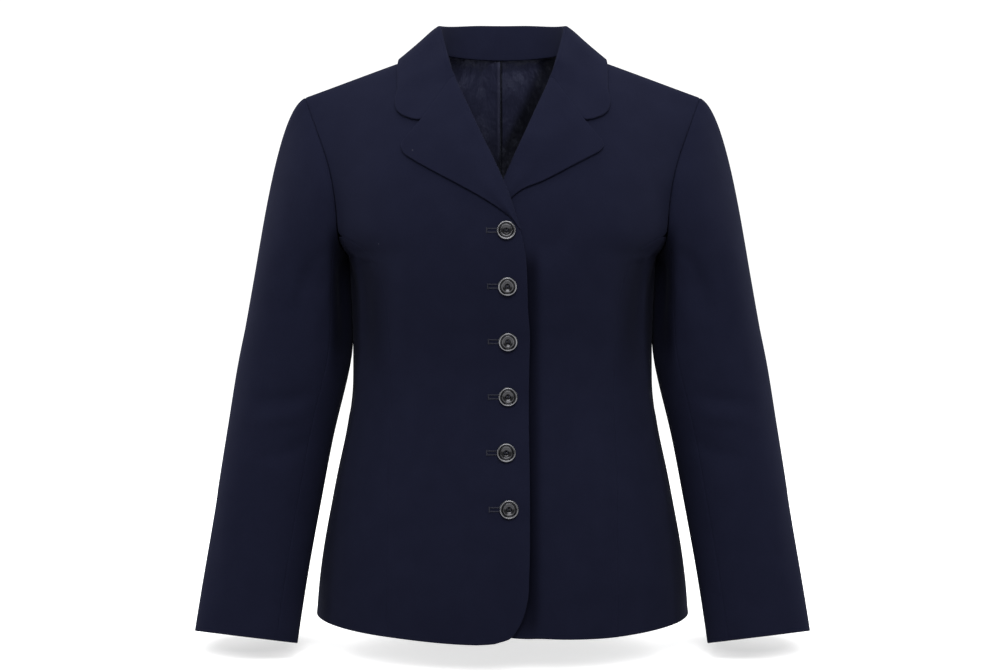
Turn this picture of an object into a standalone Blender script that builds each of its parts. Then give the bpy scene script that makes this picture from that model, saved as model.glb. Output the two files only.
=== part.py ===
"""A navy six-button blazer, hollow, filled out as when it is worn.

Tables are in millimetres and degrees, and describe the half on the wearer's left, at +X. The
front faces -Y, and the origin is level with the high point of the shoulders. The body is one
surface that runs from the front hem over the shoulder to the back hem: `along` is the distance
up the front and down the back, and `across` goes from 0 at the middle to 1 at the side seam or
armhole. The panels are cut from it along their seams, so that neighbours share their normals.
"""

import math

import bpy
import mathutils
import numpy as np

for leftover in list(bpy.data.objects):
    bpy.data.objects.remove(leftover)
COLLECTION = bpy.data.collections.new("blazer")
bpy.context.scene.collection.children.link(COLLECTION)

MM = 0.001
SIDES = {"right": -1, "left": 1}  # the wearer's, and the sign of x
WALL = 2.0  # cloth with its interlining
GAP = 0.3  # between pieces at a seam
LINING_WALL = 1.0
LINING_GAP = 3.2
LINING_INSET = 2.0  # from the neck seam
LINING_HEM = 25.0  # above the hem
LINING_SIDE = 0.8  # of the way to the side seam
PLEAT_HEIGHT = 2.0
PLEAT_COLUMNS = [0, 0.02, 0.045]
TURN_RADIUS = 3.7  # of the cloth's outer face where a lapel turns back
LAPEL_LIFT = 0.9  # between a lapel and the front it lies on
LAPEL_PUFF = 3.0
OVERLAP_DEPTH = 2.7  # how far the lower front lies in, under the upper one
LAPEL_DEPTH = 5.0  # and how much more under the lapels' crossing

# The body's rows: the middle, the edge, the way the row runs at its edge (turned from +X
# towards the back, and dropped below level), and the lengths of its two handles.
# middle y, z | edge x, y, z | turn, drop | near, far
FRONT_ROWS = [
    (-150, -609, 200, 0, -604, 90, 0, 118, 82),
    (-151, -560, 195, 0, -560, 90, 0, 116, 82),
    (-149, -510, 188, 0, -510, 90, 0, 112, 80),
    (-144, -455, 178, 0, -455, 90, 0, 106, 78),
    (-136, -400, 166.5, 0, -400, 90, 0, 98, 74),
    (-132, -355, 161.5, 0, -355, 90, 0, 95, 72),
    (-135, -310, 161.5, 0, -310, 90, 0, 98, 74),
    (-142, -272, 162.5, 0, -272, 90, 0, 104, 80),
    (-146, -244, 164, 0, -244, 90, 0, 108, 83),
]
ARMHOLE_ROWS = [
    (-147, -221, 166, 0, -220, 90, 0, 110, 86),
    (-147, -212, 169, -30, -216, 82, 0, 109, 60),
    (-146, -200, 172.5, -53, -204, 68, 0, 107, 45),
    (-143, -180, 173.5, -63, -180, 57, 0, 102, 42),
    (-135, -152, 177, -62, -150, 46, 0, 95, 50),
    (-121, -120, 184, -52, -122, 38, 3, 90, 55),
    (-101, -84, 195, -36, -93, 30, 8, 85, 60),
    (-68, -38, 206, -17, -66, 18, 15, 70, 70),
    (0, 17, 213, 2, -49, 0, 20, 45, 100),
    (56, 6, 208, 22, -62, -16, 16, 60, 75),
    (80, -35, 198, 42, -90, -28, 9, 75, 60),
    (95, -80, 188, 57, -125, -38, 4, 80, 55),
    (104, -125, 180, 64, -160, -48, 0, 85, 50),
    (107, -172, 174, 58, -195, -66, 0, 92, 42),
    (107, -204, 169, 32, -215, -81, 0, 96, 55),
    (106, -221, 166, 0, -220, -90, 0, 98, 78),
]
BACK_ROWS = [
    (105, -244, 164, 0, -244, -90, 0, 98, 74),
    (103, -272, 162.5, 0, -272, -90, 0, 97, 68),
    (99, -310, 161.5, 0, -310, -90, 0, 94, 60),
    (98, -355, 161.5, 0, -355, -90, 0, 92, 54),
    (104, -400, 166.5, 0, -400, -90, 0, 94, 56),
    (116, -455, 178, 0, -455, -90, 0, 100, 63),
    (128, -510, 188, 0, -510, -90, 0, 105, 70),
    (137, -560, 195, 0, -560, -90, 0, 108, 75),
    (142, -605, 200, 0, -604, -90, 0, 110, 78),
]
ROWS = np.array(FRONT_ROWS + ARMHOLE_ROWS + BACK_ROWS, float)
UNDERARM_FRONT = len(FRONT_ROWS)
SHOULDER = UNDERARM_FRONT + 8
UNDERARM_BACK = UNDERARM_FRONT + len(ARMHOLE_ROWS) - 1

# The front's free edge from the hem's corner up to the lapel's break, x and z. The upper and the
# lower front both pass the middle, so x starts below 0.
FRONT_EDGE = [
    (13, -607),
    (-7.5, -604),
    (-15, -590),
    (-22.5, -568),
    (-26, -532),
    (-27.5, -483),
    (-27.7, -308),
    (-25.7, -275),
    (-24.6, -239),
    (-22.2, -213),
    (-18.5, -197),
]
# The roll line from the break up to the gorge seam, where the cloth turns back, x and z.
ROLL_LINE = [
    (-13.6, -177),
    (-6.8, -158.5),
    (0.2, -141.6),
    (16.8, -105.6),
    (34, -68),
    (48.7, -34.5),
]
NECK_SIDE = 70  # half the neck's width at the high point of the shoulder
FRONT_NECK = [(61, -9), (67.5, 1)]  # the front's neck seam above the gorge, x and z
# The princess seam from the hem up into the armhole, x and z.
PRINCESS = [
    (117, -607),
    (117, -500),
    (115.5, -400),
    (116, -330),
    (118, -285),
    (122, -256),
    (131, -230),
    (143, -214),
    (158, -205),
    (172, -198),
]
# The lapel's outer edge from its point down to the break, x and z, and how far down the roll
# line each place is met. The gorge runs straight on into the lapel's upper edge.
# x, z, share
LAPEL_EDGE = [
    (101.3, -102.6, 0.0),
    (103.6, -108.5, 0.06),
    (101, -115.5, 0.13),
    (91.5, -123, 0.24),
    (73.7, -133.5, 0.38),
    (48.4, -147.2, 0.55),
    (23.2, -161.2, 0.72),
    (6.5, -171.7, 0.84),
    (-6.5, -181.5, 0.94),
    (-13, -187.5, 0.99),
]
LAPEL_SHARES = [0.0, 0.06, 0.13, 0.24, 0.38, 0.47, 0.55, 0.63, 0.72, 0.79, 0.85, 0.91]
# The wearer's left lapel, which lies lower, is cut shorter towards the break.
LOWER_LAPEL_EDGE = [
    (101.3, -102.6, 0.0),
    (103.0, -108.2, 0.06),
    (99.5, -113.7, 0.13),
    (86.0, -121.7, 0.24),
    (67.0, -131.5, 0.38),
    (41.0, -143.2, 0.55),
    (19.0, -152.5, 0.72),
    (6.0, -163.5, 0.84),
    (-5.0, -176.0, 0.94),
    (-12.0, -186.0, 0.99),
]
NOTCH = 0.69  # of the way from the roll line to the lapel's point

# The armhole's angles for ARMHOLE_ROWS: 0 at the shoulder, 90 in front, 180 under the arm. Then
# the way in which the sleeve leaves the seam, and how strongly.
# round | way x, y, z | pull
CROWN = [
    (180, 0.12, 0.0, -1.0, 40),
    (152, 0.25, -0.12, -0.96, 42),
    (125, 0.50, -0.28, -0.82, 48),
    (101, 0.80, -0.35, -0.50, 56),
    (80, 0.93, -0.30, -0.22, 64),
    (61, 0.93, -0.27, -0.25, 72),
    (42, 0.92, -0.24, -0.30, 80),
    (22, 0.93, -0.14, -0.33, 86),
    (0, 0.94, 0.0, -0.34, 90),
    (-22, 0.93, 0.14, -0.33, 86),
    (-44, 0.92, 0.24, -0.30, 80),
    (-68, 0.93, 0.27, -0.25, 72),
    (-94, 0.92, 0.30, -0.28, 64),
    (-124, 0.60, 0.30, -0.74, 52),
    (-152, 0.25, 0.12, -0.96, 42),
    (-180, 0.12, 0.0, -1.0, 40),
]
# The sleeve's rings from the biceps to the hem.
# outer end x, z | inner end x, z | middle y | depth | pitch
SLEEVE_RINGS = [
    (268.5, -247, 166.5, -264, 2, 112, 0),
    (276.5, -293, 164.3, -312, 1, 110, 1),
    (284, -337, 169.0, -357, -3, 105, 5),
    (291.3, -391, 181, -410, -10, 97, 10),
    (300.2, -454, 191.5, -472.5, -25, 87, 13),
    (308.7, -516, 201.5, -532, -40, 75, 13),
    (315.9, -567, 208.6, -580.5, -52, 63, 13),
    (321.8, -613, 214.5, -626, -62, 54, 12),
]
CROWN_GAP = 0.4  # from the armhole's edge, and how far that way leans out from the body
CROWN_RAISE = 0.6
CROWN_FALL = 0.85  # of the crown's length, the strength with which it runs into the first ring
CROWN_LENGTHS = [-1, -0.93, -0.8, -0.6, -0.38, -0.18, 0]
FORE_SEAM = 125  # the sleeve's seams, as angles round it
HIND_SEAM = -124
INNER_FLATNESS = 0.8  # of the sleeve where it lies beside the body

# The collar's sections from the centre back to the gorge.
# fold x, y, z | outer edge x, y, z
COLLAR_SECTIONS = [
    (0, 77, 37, 0, 92, -16),
    (22, 75, 37, 30, 91, -16),
    (42, 66, 35.5, 60, 80, -15),
    (58, 45, 32.5, 88, 57, -13),
    (67, 20, 30, 106, 28, -10),
    (68.5, -6, 26, 112, -8, -11),
    (66, -24, 12, 113, -34, -22),
    (60.3, -48.5, -10, 113, -55, -38),
    (56.2, -57, -22.8, 112.5, -68, -54),
    (53.3, -61.7, -31, 106, -78, -72),
]
BACK_SECTIONS = 5
FRONT_SECTION_SHARES = [0.2, 0.45, 0.7, 0.88, 1.0]  # of the way from the shoulder to the gorge
FOLD_RADIUS = 3.0
FOOT_GAP = 0.8  # from the collar's foot to the body's rim
FALL_LEAN = 0.88  # how much of the way to its edge the fall leans already at the fold
FALL_DROP = 0.3  # of the fall's length, how far it first keeps that lean
FALL_REACH = 0.4  # and how far it is straight before its edge
FALL_SHARES = [0.18, 0.36, 0.56, 0.78, 1.0]
# The collar's end: these shares of the gorge, then out to its point, x and z.
GORGE_SHARES = [0.33, 0.67, 1.0]
COLLAR_POINT = [(97, -77), (106, -72)]
GORGE_ROLL = 5.2  # the fold's height over the front where the collar meets the lapel
COLLAR_LIFT = 1.5  # between the collar's fall and the body
COLLAR_END_GAP = 0.45  # from the gorge
COLLAR_STATIONS = [0, 1, 2, 3, 3.5, 4, 4.4, 4.8, 5.2, 5.6, 6, 6.5, 7, 7.5, 8, 8.5, 9]

# The buttons from the top: x, and the height of the back over the smooth front, whose facets
# lie in a little.
BUTTONS = [(3.8, -0.1), (4.9, 0.1), (5.5, 1.0), (5.5, 0.85), (3.8, 0.55), (6.5, 0.2)]
BUTTON_TOP_Z = -195.3
BUTTON_STEP = 55.9
BUTTON_SIDES = 22
# The button's profile from the middle of its face round its rim to the middle of its back:
# radius and height.
BUTTON_PROFILE = [
    (0, 2.4),
    (5.8, 2.4),
    (7.2, 3.7),
    (8.6, 3.8),
    (9.5, 2.6),
    (9.3, 0.9),
    (8.2, 0.0),
    (0, 0.0),
]

NAVY = (0.011, 0.013, 0.027, 1.0)
LINING_NAVY = (0.020, 0.022, 0.040, 1.0)
BLACK = (0.010, 0.010, 0.012, 1.0)


def unit(vectors):
    return vectors / np.linalg.norm(vectors, axis=-1, keepdims=True)


def smooth(knots, values, at):
    """A cubic through the values that never passes beyond two neighbours."""
    knots, values, at = (np.asarray(item, float) for item in (knots, values, at))
    rates = (np.diff(values, axis=0).T / np.diff(knots)).T
    before, after = np.concatenate([rates[:1], rates]), np.concatenate([rates, rates[-1:]])
    most = 3 * np.minimum(abs(before), abs(after)) * (before * after > 0)
    slopes = np.clip(np.gradient(values, knots, axis=0), -most, most)
    low = np.clip(np.searchsorted(knots, at, side="right") - 1, 0, len(knots) - 2)
    step = knots[low + 1] - knots[low]
    t = np.clip((at - knots[low]) / step, 0, 1)
    if values.ndim > 1:
        t, step = t[..., None], step[..., None]
    rise = values[low + 1] - values[low]
    ends = slopes[low] * step * t * (1 - t) ** 2 - slopes[low + 1] * step * t**2 * (1 - t)
    return values[low] + rise * t**2 * (3 - 2 * t) + ends


def ease(value, start, end):
    """0 at start, 1 at end, level at both."""
    t = np.clip((value - start) / (end - start), 0, 1)
    return t * t * (3 - 2 * t)


MIDDLES = (np.pad(ROWS[:, 0:2], ((0, 0), (1, 0))) + ROWS[:, 2:5]) / 2
ALONG = np.concatenate([[0], np.cumsum(np.linalg.norm(np.diff(MIDDLES, axis=0), axis=1))])
ALONG_SHOULDER = ALONG[SHOULDER]
ALONG_END = ALONG[-1]


def body(along, across):
    """Points of the body: each row is a Bezier curve from the middle to the edge, and a
    negative `across` is the mirror image."""
    along, across = np.broadcast_arrays(along, across)
    row = smooth(ALONG, ROWS, along)
    turn, drop = np.radians(row[..., 5]), np.radians(row[..., 6])
    way = np.stack([np.cos(turn) * np.cos(drop), np.sin(turn) * np.cos(drop), -np.sin(drop)], -1)
    zero = np.zeros_like(along)
    first = np.stack([zero, row[..., 0], row[..., 1]], -1)
    last = row[..., 2:5]
    second = first + np.stack([row[..., 7], zero, zero], -1)
    third = last - way * row[..., 8:9]
    t = np.abs(across)[..., None]
    points = first * (1 - t) ** 3 + second * 3 * t * (1 - t) ** 2
    points = points + third * 3 * t**2 * (1 - t) + last * t**3
    points[..., 0] *= np.where(across < 0, -1, 1)
    return points


def outward(along, across):
    """The body's unit normals, pointing out."""
    step = 0.001
    a = np.clip(along, 2, ALONG_END - 2)
    across = np.clip(across, -1 + step, 1 - step)
    up = body(a + 1, across) - body(a - 1, across)
    side = body(a, across + step) - body(a, across - step)
    return unit(np.cross(side, up))


def across_at(along, x):
    """Where each row is at x."""
    steps = np.linspace(0, 1, 81)
    along, x = (np.ravel(item) for item in np.broadcast_arrays(along, x))
    tracks = body(along[:, None], steps[None, :])[..., 0]
    found = [np.interp(abs(value), track, steps) for value, track in zip(x, tracks)]
    return np.array(found) * np.where(x < 0, -1, 1)


def on_front(table):
    """(along, across) of points of the front given by x and z."""
    x, z = np.array(table, float).T
    along = np.interp(z, ROWS[: SHOULDER + 1, 1], ALONG[: SHOULDER + 1])
    for _ in range(12):
        across = across_at(along, x)
        here = body(along, across)[:, 2]
        rise = (body(along + 0.5, across)[:, 2] - body(along - 0.5, across)[:, 2]).clip(0.2)
        along = np.clip(along + (z - here) / rise, 0, ALONG_SHOULDER)
    return along, across_at(along, x)


def sunk(points, normals, side):
    """The wearer's left front lies in, under the right one, near the front edge."""
    if side < 0:
        return points
    x, z = points[..., 0], points[..., 2]
    depth = OVERLAP_DEPTH * ease(x, 75, 32)
    depth += LAPEL_DEPTH * ease(x, 80, 36) * ease(z, -235, -205) * ease(z, -95, -130)
    return points - normals * depth[..., None]


def add_object(name, points, triangles, material):
    """One closed mesh in the blazer's collection, its faces pointing out."""
    corners = points[triangles]
    volume = np.einsum("ij,ij->i", corners[:, 0], np.cross(corners[:, 1], corners[:, 2])).sum()
    if volume < 0:
        triangles = triangles[:, ::-1]
    mesh = bpy.data.meshes.new(name)
    mesh.from_pydata((points * MM).tolist(), [], triangles.tolist())
    mesh.shade_smooth()
    mesh.set_sharp_from_angle(angle=math.radians(40))
    mesh.materials.append(material)
    piece = bpy.data.objects.new(name, mesh)
    COLLECTION.objects.link(piece)
    return piece


def add_wall(name, outer, inner, material, side=1):
    """A closed wall between two grids of the same shape, with its rim. A negative side mirrors
    it to the wearer's right."""
    rows, columns = outer.shape[:2]
    points = np.concatenate([outer.reshape(-1, 3), inner.reshape(-1, 3)])
    points = points * (side, 1, 1)
    index = np.arange(rows * columns).reshape(rows, columns)
    a, b = index[:-1, :-1].ravel(), index[:-1, 1:].ravel()
    c, d = index[1:, 1:].ravel(), index[1:, :-1].ravel()
    face = np.concatenate([np.stack([a, b, c], 1), np.stack([a, c, d], 1)])
    far = index.size
    rim = np.concatenate([index[0], index[1:, -1], index[-1, -2::-1], index[-2::-1, 0]])
    start, end = rim[:-1], rim[1:]
    side_a = np.stack([end, start, start + far], 1)
    side_b = np.stack([end, start + far, end + far], 1)
    triangles = np.concatenate([face, face[:, ::-1] + far, side_a, side_b])
    return add_object(name, points, triangles, material)


def trim(outer, inner, first_row=0.0, last_row=0.0, first_column=0.0, last_column=0.0):
    """Draws a grid's borders in along its surface, to leave the gap at a seam."""
    for grid in (outer, inner):
        grid[0] += unit(grid[1] - grid[0]) * first_row
        grid[-1] += unit(grid[-2] - grid[-1]) * last_row
        grid[:, 0] += unit(grid[:, 1] - grid[:, 0]) * first_column
        grid[:, -1] += unit(grid[:, -2] - grid[:, -1]) * last_column


def row_places(start, end, count, wanted=(), least=3.5):
    """Even places with the wanted ones among them, none nearer than `least` to another."""
    kept = [start, end]
    for place in list(wanted) + list(np.linspace(start, end, count)):
        if start < place < end and min(abs(place - other) for other in kept) > least:
            kept.append(place)
    return np.sort(kept)


def panel(along, first, last, columns, side):
    """A body panel's outer and inner grids, between two borders given for each row."""
    share = np.linspace(0, 1, columns)
    across = first[:, None] + (last - first)[:, None] * share
    along = np.broadcast_to(along[:, None], across.shape)
    normals = outward(along, across)
    outer = sunk(body(along, across), normals, side)
    return outer, outer - normals * WALL


EDGE_ALONG, EDGE_ACROSS = on_front(FRONT_EDGE)
ROLL_ALONG, ROLL_ACROSS = on_front([(x + TURN_RADIUS, z) for x, z in ROLL_LINE])
NECK_ALONG, NECK_ACROSS = on_front(FRONT_NECK)
SHOULDER_NECK = across_at([ALONG_SHOULDER], [NECK_SIDE])[0]
FREE_ALONG = np.concatenate([EDGE_ALONG, ROLL_ALONG, NECK_ALONG, [ALONG_SHOULDER]])
FREE_ACROSS = np.concatenate([EDGE_ACROSS, ROLL_ACROSS, NECK_ACROSS, [SHOULDER_NECK]])
PRINCESS_ALONG, PRINCESS_ACROSS = on_front(PRINCESS)
PRINCESS_TOP = PRINCESS_ALONG[-1]


def princess(along):
    return np.interp(along, PRINCESS_ALONG, PRINCESS_ACROSS)


LOWER_WANTED = np.concatenate(
    [ALONG[UNDERARM_FRONT : UNDERARM_FRONT + 3], PRINCESS_ALONG[4:-1], FREE_ALONG[:5]]
)
LOWER_ROWS = row_places(0, PRINCESS_TOP, 13, LOWER_WANTED)
UPPER_ROWS = row_places(PRINCESS_TOP, ALONG_SHOULDER, 11, FREE_ALONG[9:])


def princess_gap(along):
    """Half the gap at the princess seam, wider along a row where the seam runs nearly level."""
    return (GAP / 2 + GAP * ease(along, PRINCESS_ALONG[5], PRINCESS_ALONG[7]))[:, None]


def make_front(name, side, material):
    along = np.concatenate([LOWER_ROWS, UPPER_ROWS[1:]])
    first = np.interp(along, FREE_ALONG, FREE_ACROSS)
    last = np.where(along < PRINCESS_TOP, princess(along), 1.0)
    outer, inner = panel(along, first, last, 9, side)
    below = (along < PRINCESS_TOP)[:, None]
    trim(outer, inner, last_row=GAP / 2, last_column=princess_gap(along) * below)
    return add_wall(name, outer, inner, material, side)


def make_side_front(name, side, material):
    along = LOWER_ROWS[:-1]
    outer, inner = panel(along, princess(along), np.ones(len(along)), 6, side)
    below = (along < ALONG[UNDERARM_FRONT] + 1)[:, None]
    trim(outer, inner, first_column=princess_gap(along), last_column=GAP / 2 * below)
    return add_wall(name, outer, inner, material, side)


def back_neck_end():
    """How far along the middle of the back the neck seam lies: where its height is 0."""
    fine = np.linspace(ALONG[SHOULDER], ALONG[UNDERARM_BACK], 400)
    return np.interp(0, -smooth(ALONG, ROWS[:, 1], fine), fine)


NECK_BACK = back_neck_end()


def back_neck(turn):
    """(along, x) of the back's neck seam, a quarter of an ellipse from the shoulder's high
    point, at 0 degrees, to the centre back, at 90."""
    turn = np.radians(turn)
    along = ALONG_SHOULDER + (NECK_BACK - ALONG_SHOULDER) * np.sin(turn)
    return along, NECK_SIDE * np.cos(turn)


NECK_TURNS = np.array([0, 20, 40, 60, 78, 90])
BACK_TOP_ALONG, BACK_TOP_X = back_neck(NECK_TURNS)
BACK_UPPER_ROWS = np.concatenate(
    [
        BACK_TOP_ALONG,
        row_places(NECK_BACK, ALONG[UNDERARM_BACK], 7, ALONG[UNDERARM_BACK - 3 : UNDERARM_BACK])[1:],
    ]
)
BACK_LOWER_ROWS = row_places(ALONG[UNDERARM_BACK], ALONG_END, 13)
BACK_COLUMNS = np.linspace(0, 1, 9)


def make_back(name, side, material):
    along = np.concatenate([BACK_UPPER_ROWS, BACK_LOWER_ROWS[1:]])
    x = np.concatenate([BACK_TOP_X, np.zeros(len(along) - len(BACK_TOP_X))])
    first = across_at(along, x)
    outer, inner = panel(along, first, np.ones(len(along)), len(BACK_COLUMNS), -1)
    seamed = (along > NECK_BACK - 1)[:, None]
    side_seam = (along > ALONG[UNDERARM_BACK] - 1)[:, None]
    trim(outer, inner, first_row=GAP / 2, last_column=GAP / 2 * side_seam)
    for grid in (outer, inner):
        grid[:, 0, 0] += (GAP / 2 * seamed)[:, 0]
    return add_wall(name, outer, inner, material, side)


def round_of(along):
    """The angle round the armhole of the body's row at `along`."""
    return np.interp(along, ALONG[UNDERARM_FRONT : UNDERARM_BACK + 1], np.array(CROWN)[:, 0])


def armhole(angle):
    """The armhole seam's point at an angle round it, the body's normal there, and the way and
    strength with which the sleeve leaves it."""
    angle = (angle + 180) % 360 - 180
    crown = np.array(CROWN, float)[::-1]
    along = np.interp(angle, crown[:, 0], ALONG[UNDERARM_FRONT : UNDERARM_BACK + 1][::-1])
    found = smooth(crown[:, 0], crown[:, 1:], angle)
    edge = body(along, 1.0)
    return edge, outward(along, 1.0), unit(found[..., 0:3]), found[..., 3:4]


def sleeve_ring(length, angle):
    """A point of the sleeve below the biceps: an ellipse across the arm at each ring."""
    knots = np.arange(len(SLEEVE_RINGS), dtype=float)
    ring = smooth(knots, np.array(SLEEVE_RINGS, float), length)
    zero = np.zeros_like(ring[..., 0])
    outer = np.stack([ring[..., 0], ring[..., 4], ring[..., 1]], -1)
    inner = np.stack([ring[..., 2], ring[..., 4], ring[..., 3]], -1)
    pitch = np.radians(ring[..., 6])
    back = np.stack([zero, np.cos(pitch), -np.sin(pitch)], -1)
    turn = np.radians(angle)[..., None]
    middle, half = (outer + inner) / 2, (outer - inner) / 2
    reach = np.cos(turn)
    reach = np.where(reach < 0, -(np.abs(reach) ** INNER_FLATNESS), reach)
    return middle + half * reach - back * np.sin(turn) * ring[..., 5:6] / 2


def sleeve(length, angle):
    """A point of the sleeve: from the armhole, at -1, it curves to the first ring, at 0, and
    goes on through the rings."""
    length, angle = np.broadcast_arrays(np.asarray(length, float), np.asarray(angle, float))
    seam, normal, way, pull = armhole(angle)
    step = 0.02
    zero = np.zeros_like(length)
    ring = sleeve_ring(zero, angle)
    fall = (sleeve_ring(zero + step, angle) - ring) / step
    fall = unit(fall) * np.linalg.norm(ring - seam, axis=-1, keepdims=True) * CROWN_FALL
    start = seam + unit(way + normal * CROWN_RAISE) * CROWN_GAP
    t = np.clip(length + 1, 0, 1)[..., None]
    crown = start * (1 + 2 * t) * (1 - t) ** 2 + way * pull * t * (1 - t) ** 2
    crown = crown + ring * t * t * (3 - 2 * t) - fall * t * t * (1 - t)
    rings = sleeve_ring(np.clip(length, 0, None), angle)
    return np.where((length < 0)[..., None], crown, rings)


def sleeve_normal(length, angle):
    step = 0.01
    last = len(SLEEVE_RINGS) - 1
    a = np.clip(length, -1 + step, last - step)
    down = sleeve(a + step, angle) - sleeve(a - step, angle)
    round_it = sleeve(a, angle + 1) - sleeve(a, angle - 1)
    return unit(np.cross(round_it, down))


def sleeve_turns():
    """The angles of the sleeve's columns, one for each row of the body that ends there."""
    rows = np.concatenate([LOWER_ROWS, UPPER_ROWS[1:], BACK_UPPER_ROWS[1:]])
    inside = rows[(rows > ALONG[UNDERARM_FRONT] - 0.1) & (rows < ALONG[UNDERARM_BACK] + 0.1)]
    return np.sort(round_of(inside))


def make_sleeve(name, side, turns, material):
    crown = np.array(CROWN_LENGTHS)
    rings = np.linspace(0, len(SLEEVE_RINGS) - 1, 9)[1:]
    length = np.concatenate([crown, rings])[:, None]
    length, angle = np.broadcast_arrays(length, np.asarray(turns, float)[None, :])
    outer = sleeve(length, angle)
    inner = outer - sleeve_normal(length, angle) * WALL
    trim(outer, inner, first_column=GAP / 2, last_column=GAP / 2)
    return add_wall(name, outer, inner, material, side)


def lapel_place(share, width, side=-1):
    """Where the lapel lies: `share` of the way down the roll line from the gorge, and `width` of
    the way from there to its outer edge."""
    table = np.array(LAPEL_EDGE if side < 0 else LOWER_LAPEL_EDGE)
    down_along = np.concatenate([ROLL_ALONG[::-1], EDGE_ALONG[-1:]])
    down_across = np.concatenate([ROLL_ACROSS[::-1], EDGE_ACROSS[-1:]])
    gone = (down_along[0] - down_along) / (down_along[0] - down_along[-1])
    met = table[:, 2]
    edge_along, edge_across = on_front(table[:, :2])
    along = np.interp(share, gone, down_along) * (1 - width)
    along = along + np.interp(share, met, edge_along) * width
    across = np.interp(share, gone, down_across) * (1 - width)
    return along, across + np.interp(share, met, edge_across) * width


def make_lapel(name, side, material):
    """The facing turned back: it goes round the front's roll edge and lies on its face."""
    share = np.array(LAPEL_SHARES)
    width = np.array([0.0, 0.1, 0.25, 0.42, 0.6, 0.78, 0.92, 1.0])
    along, across = lapel_place(share[:, None], width[None, :], side)
    normals = outward(along, across)
    base = sunk(body(along, across), normals, side)
    puff = LAPEL_PUFF * np.sin(np.pi * width) ** 2 * (1 - width) * ease(share, 0, 0.3)[:, None]
    top = base + normals * (WALL + LAPEL_LIFT + puff)[..., None]
    under = top - normals * WALL
    aside = unit(np.cross(np.gradient(base[:, 0], axis=0), normals[:, 0]))
    middle = base[:, 0] - normals[:, 0] * WALL / 2
    turns = np.radians([-15, 15, 45, 70])
    cosines, sines = np.cos(turns)[None, :, None], np.sin(turns)[None, :, None]
    spoke = aside[:, None] * cosines + normals[:, :1] * sines
    outer = np.concatenate([middle[:, None] + spoke * TURN_RADIUS, top], axis=1)
    inner = np.concatenate([middle[:, None] + spoke * (TURN_RADIUS - WALL), under], axis=1)
    trim(outer, inner, first_row=GAP)
    return add_wall(name, outer, inner, material, side)


def neck_seam(stations):
    """The neck seam's points and the body's normals there: the back's quarter ellipse up to the
    shoulder, then down the front to the gorge."""
    back = BACK_SECTIONS - 1
    turn = 90 * (1 - np.clip(stations / back, 0, 1))
    back_along, back_x = back_neck(turn)
    share = np.interp(stations, np.arange(back, back + 6), [0] + FRONT_SECTION_SHARES)
    front_along = ALONG_SHOULDER + (ROLL_ALONG[-1] - ALONG_SHOULDER) * share
    front_across = np.interp(front_along, FREE_ALONG, FREE_ACROSS)
    along = np.where(stations <= back, back_along, front_along)
    across = np.where(stations <= back, across_at(back_along, back_x), front_across)
    return body(along, across), outward(along, across)


def body_heights(points):
    """Each point's height over the nearest place of the body, and the normal there."""
    along = np.linspace(ALONG[UNDERARM_FRONT + 3], ALONG[UNDERARM_BACK - 3], 200)[:, None]
    across = np.linspace(-0.9, 0.9, 121)[None, :]
    surface = body(along, across).reshape(-1, 3)
    normals = outward(along, across).reshape(-1, 3)
    nearest = np.array([np.argmin(((surface - point) ** 2).sum(1)) for point in points])
    normals = normals[nearest]
    return ((points - surface[nearest]) * normals).sum(1), normals


def seated(points, height):
    """The points moved to lie at a height over the body."""
    heights, normals = body_heights(points)
    return points + normals * (height - heights)[:, None]


def clear_of_body(points, least):
    """The points moved out until none is nearer to the body than `least`."""
    flat = points.reshape(-1, 3)
    heights, normals = body_heights(flat)
    lift = np.where(heights > -25, np.clip(least - heights, 0, None), 0)
    return (flat + normals * lift[:, None]).reshape(points.shape)


def both_halves(columns):
    """The grid of the whole collar from its half's columns."""
    half = np.stack(columns, axis=1)
    return np.concatenate([half[:0:-1] * (-1, 1, 1), half])


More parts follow.
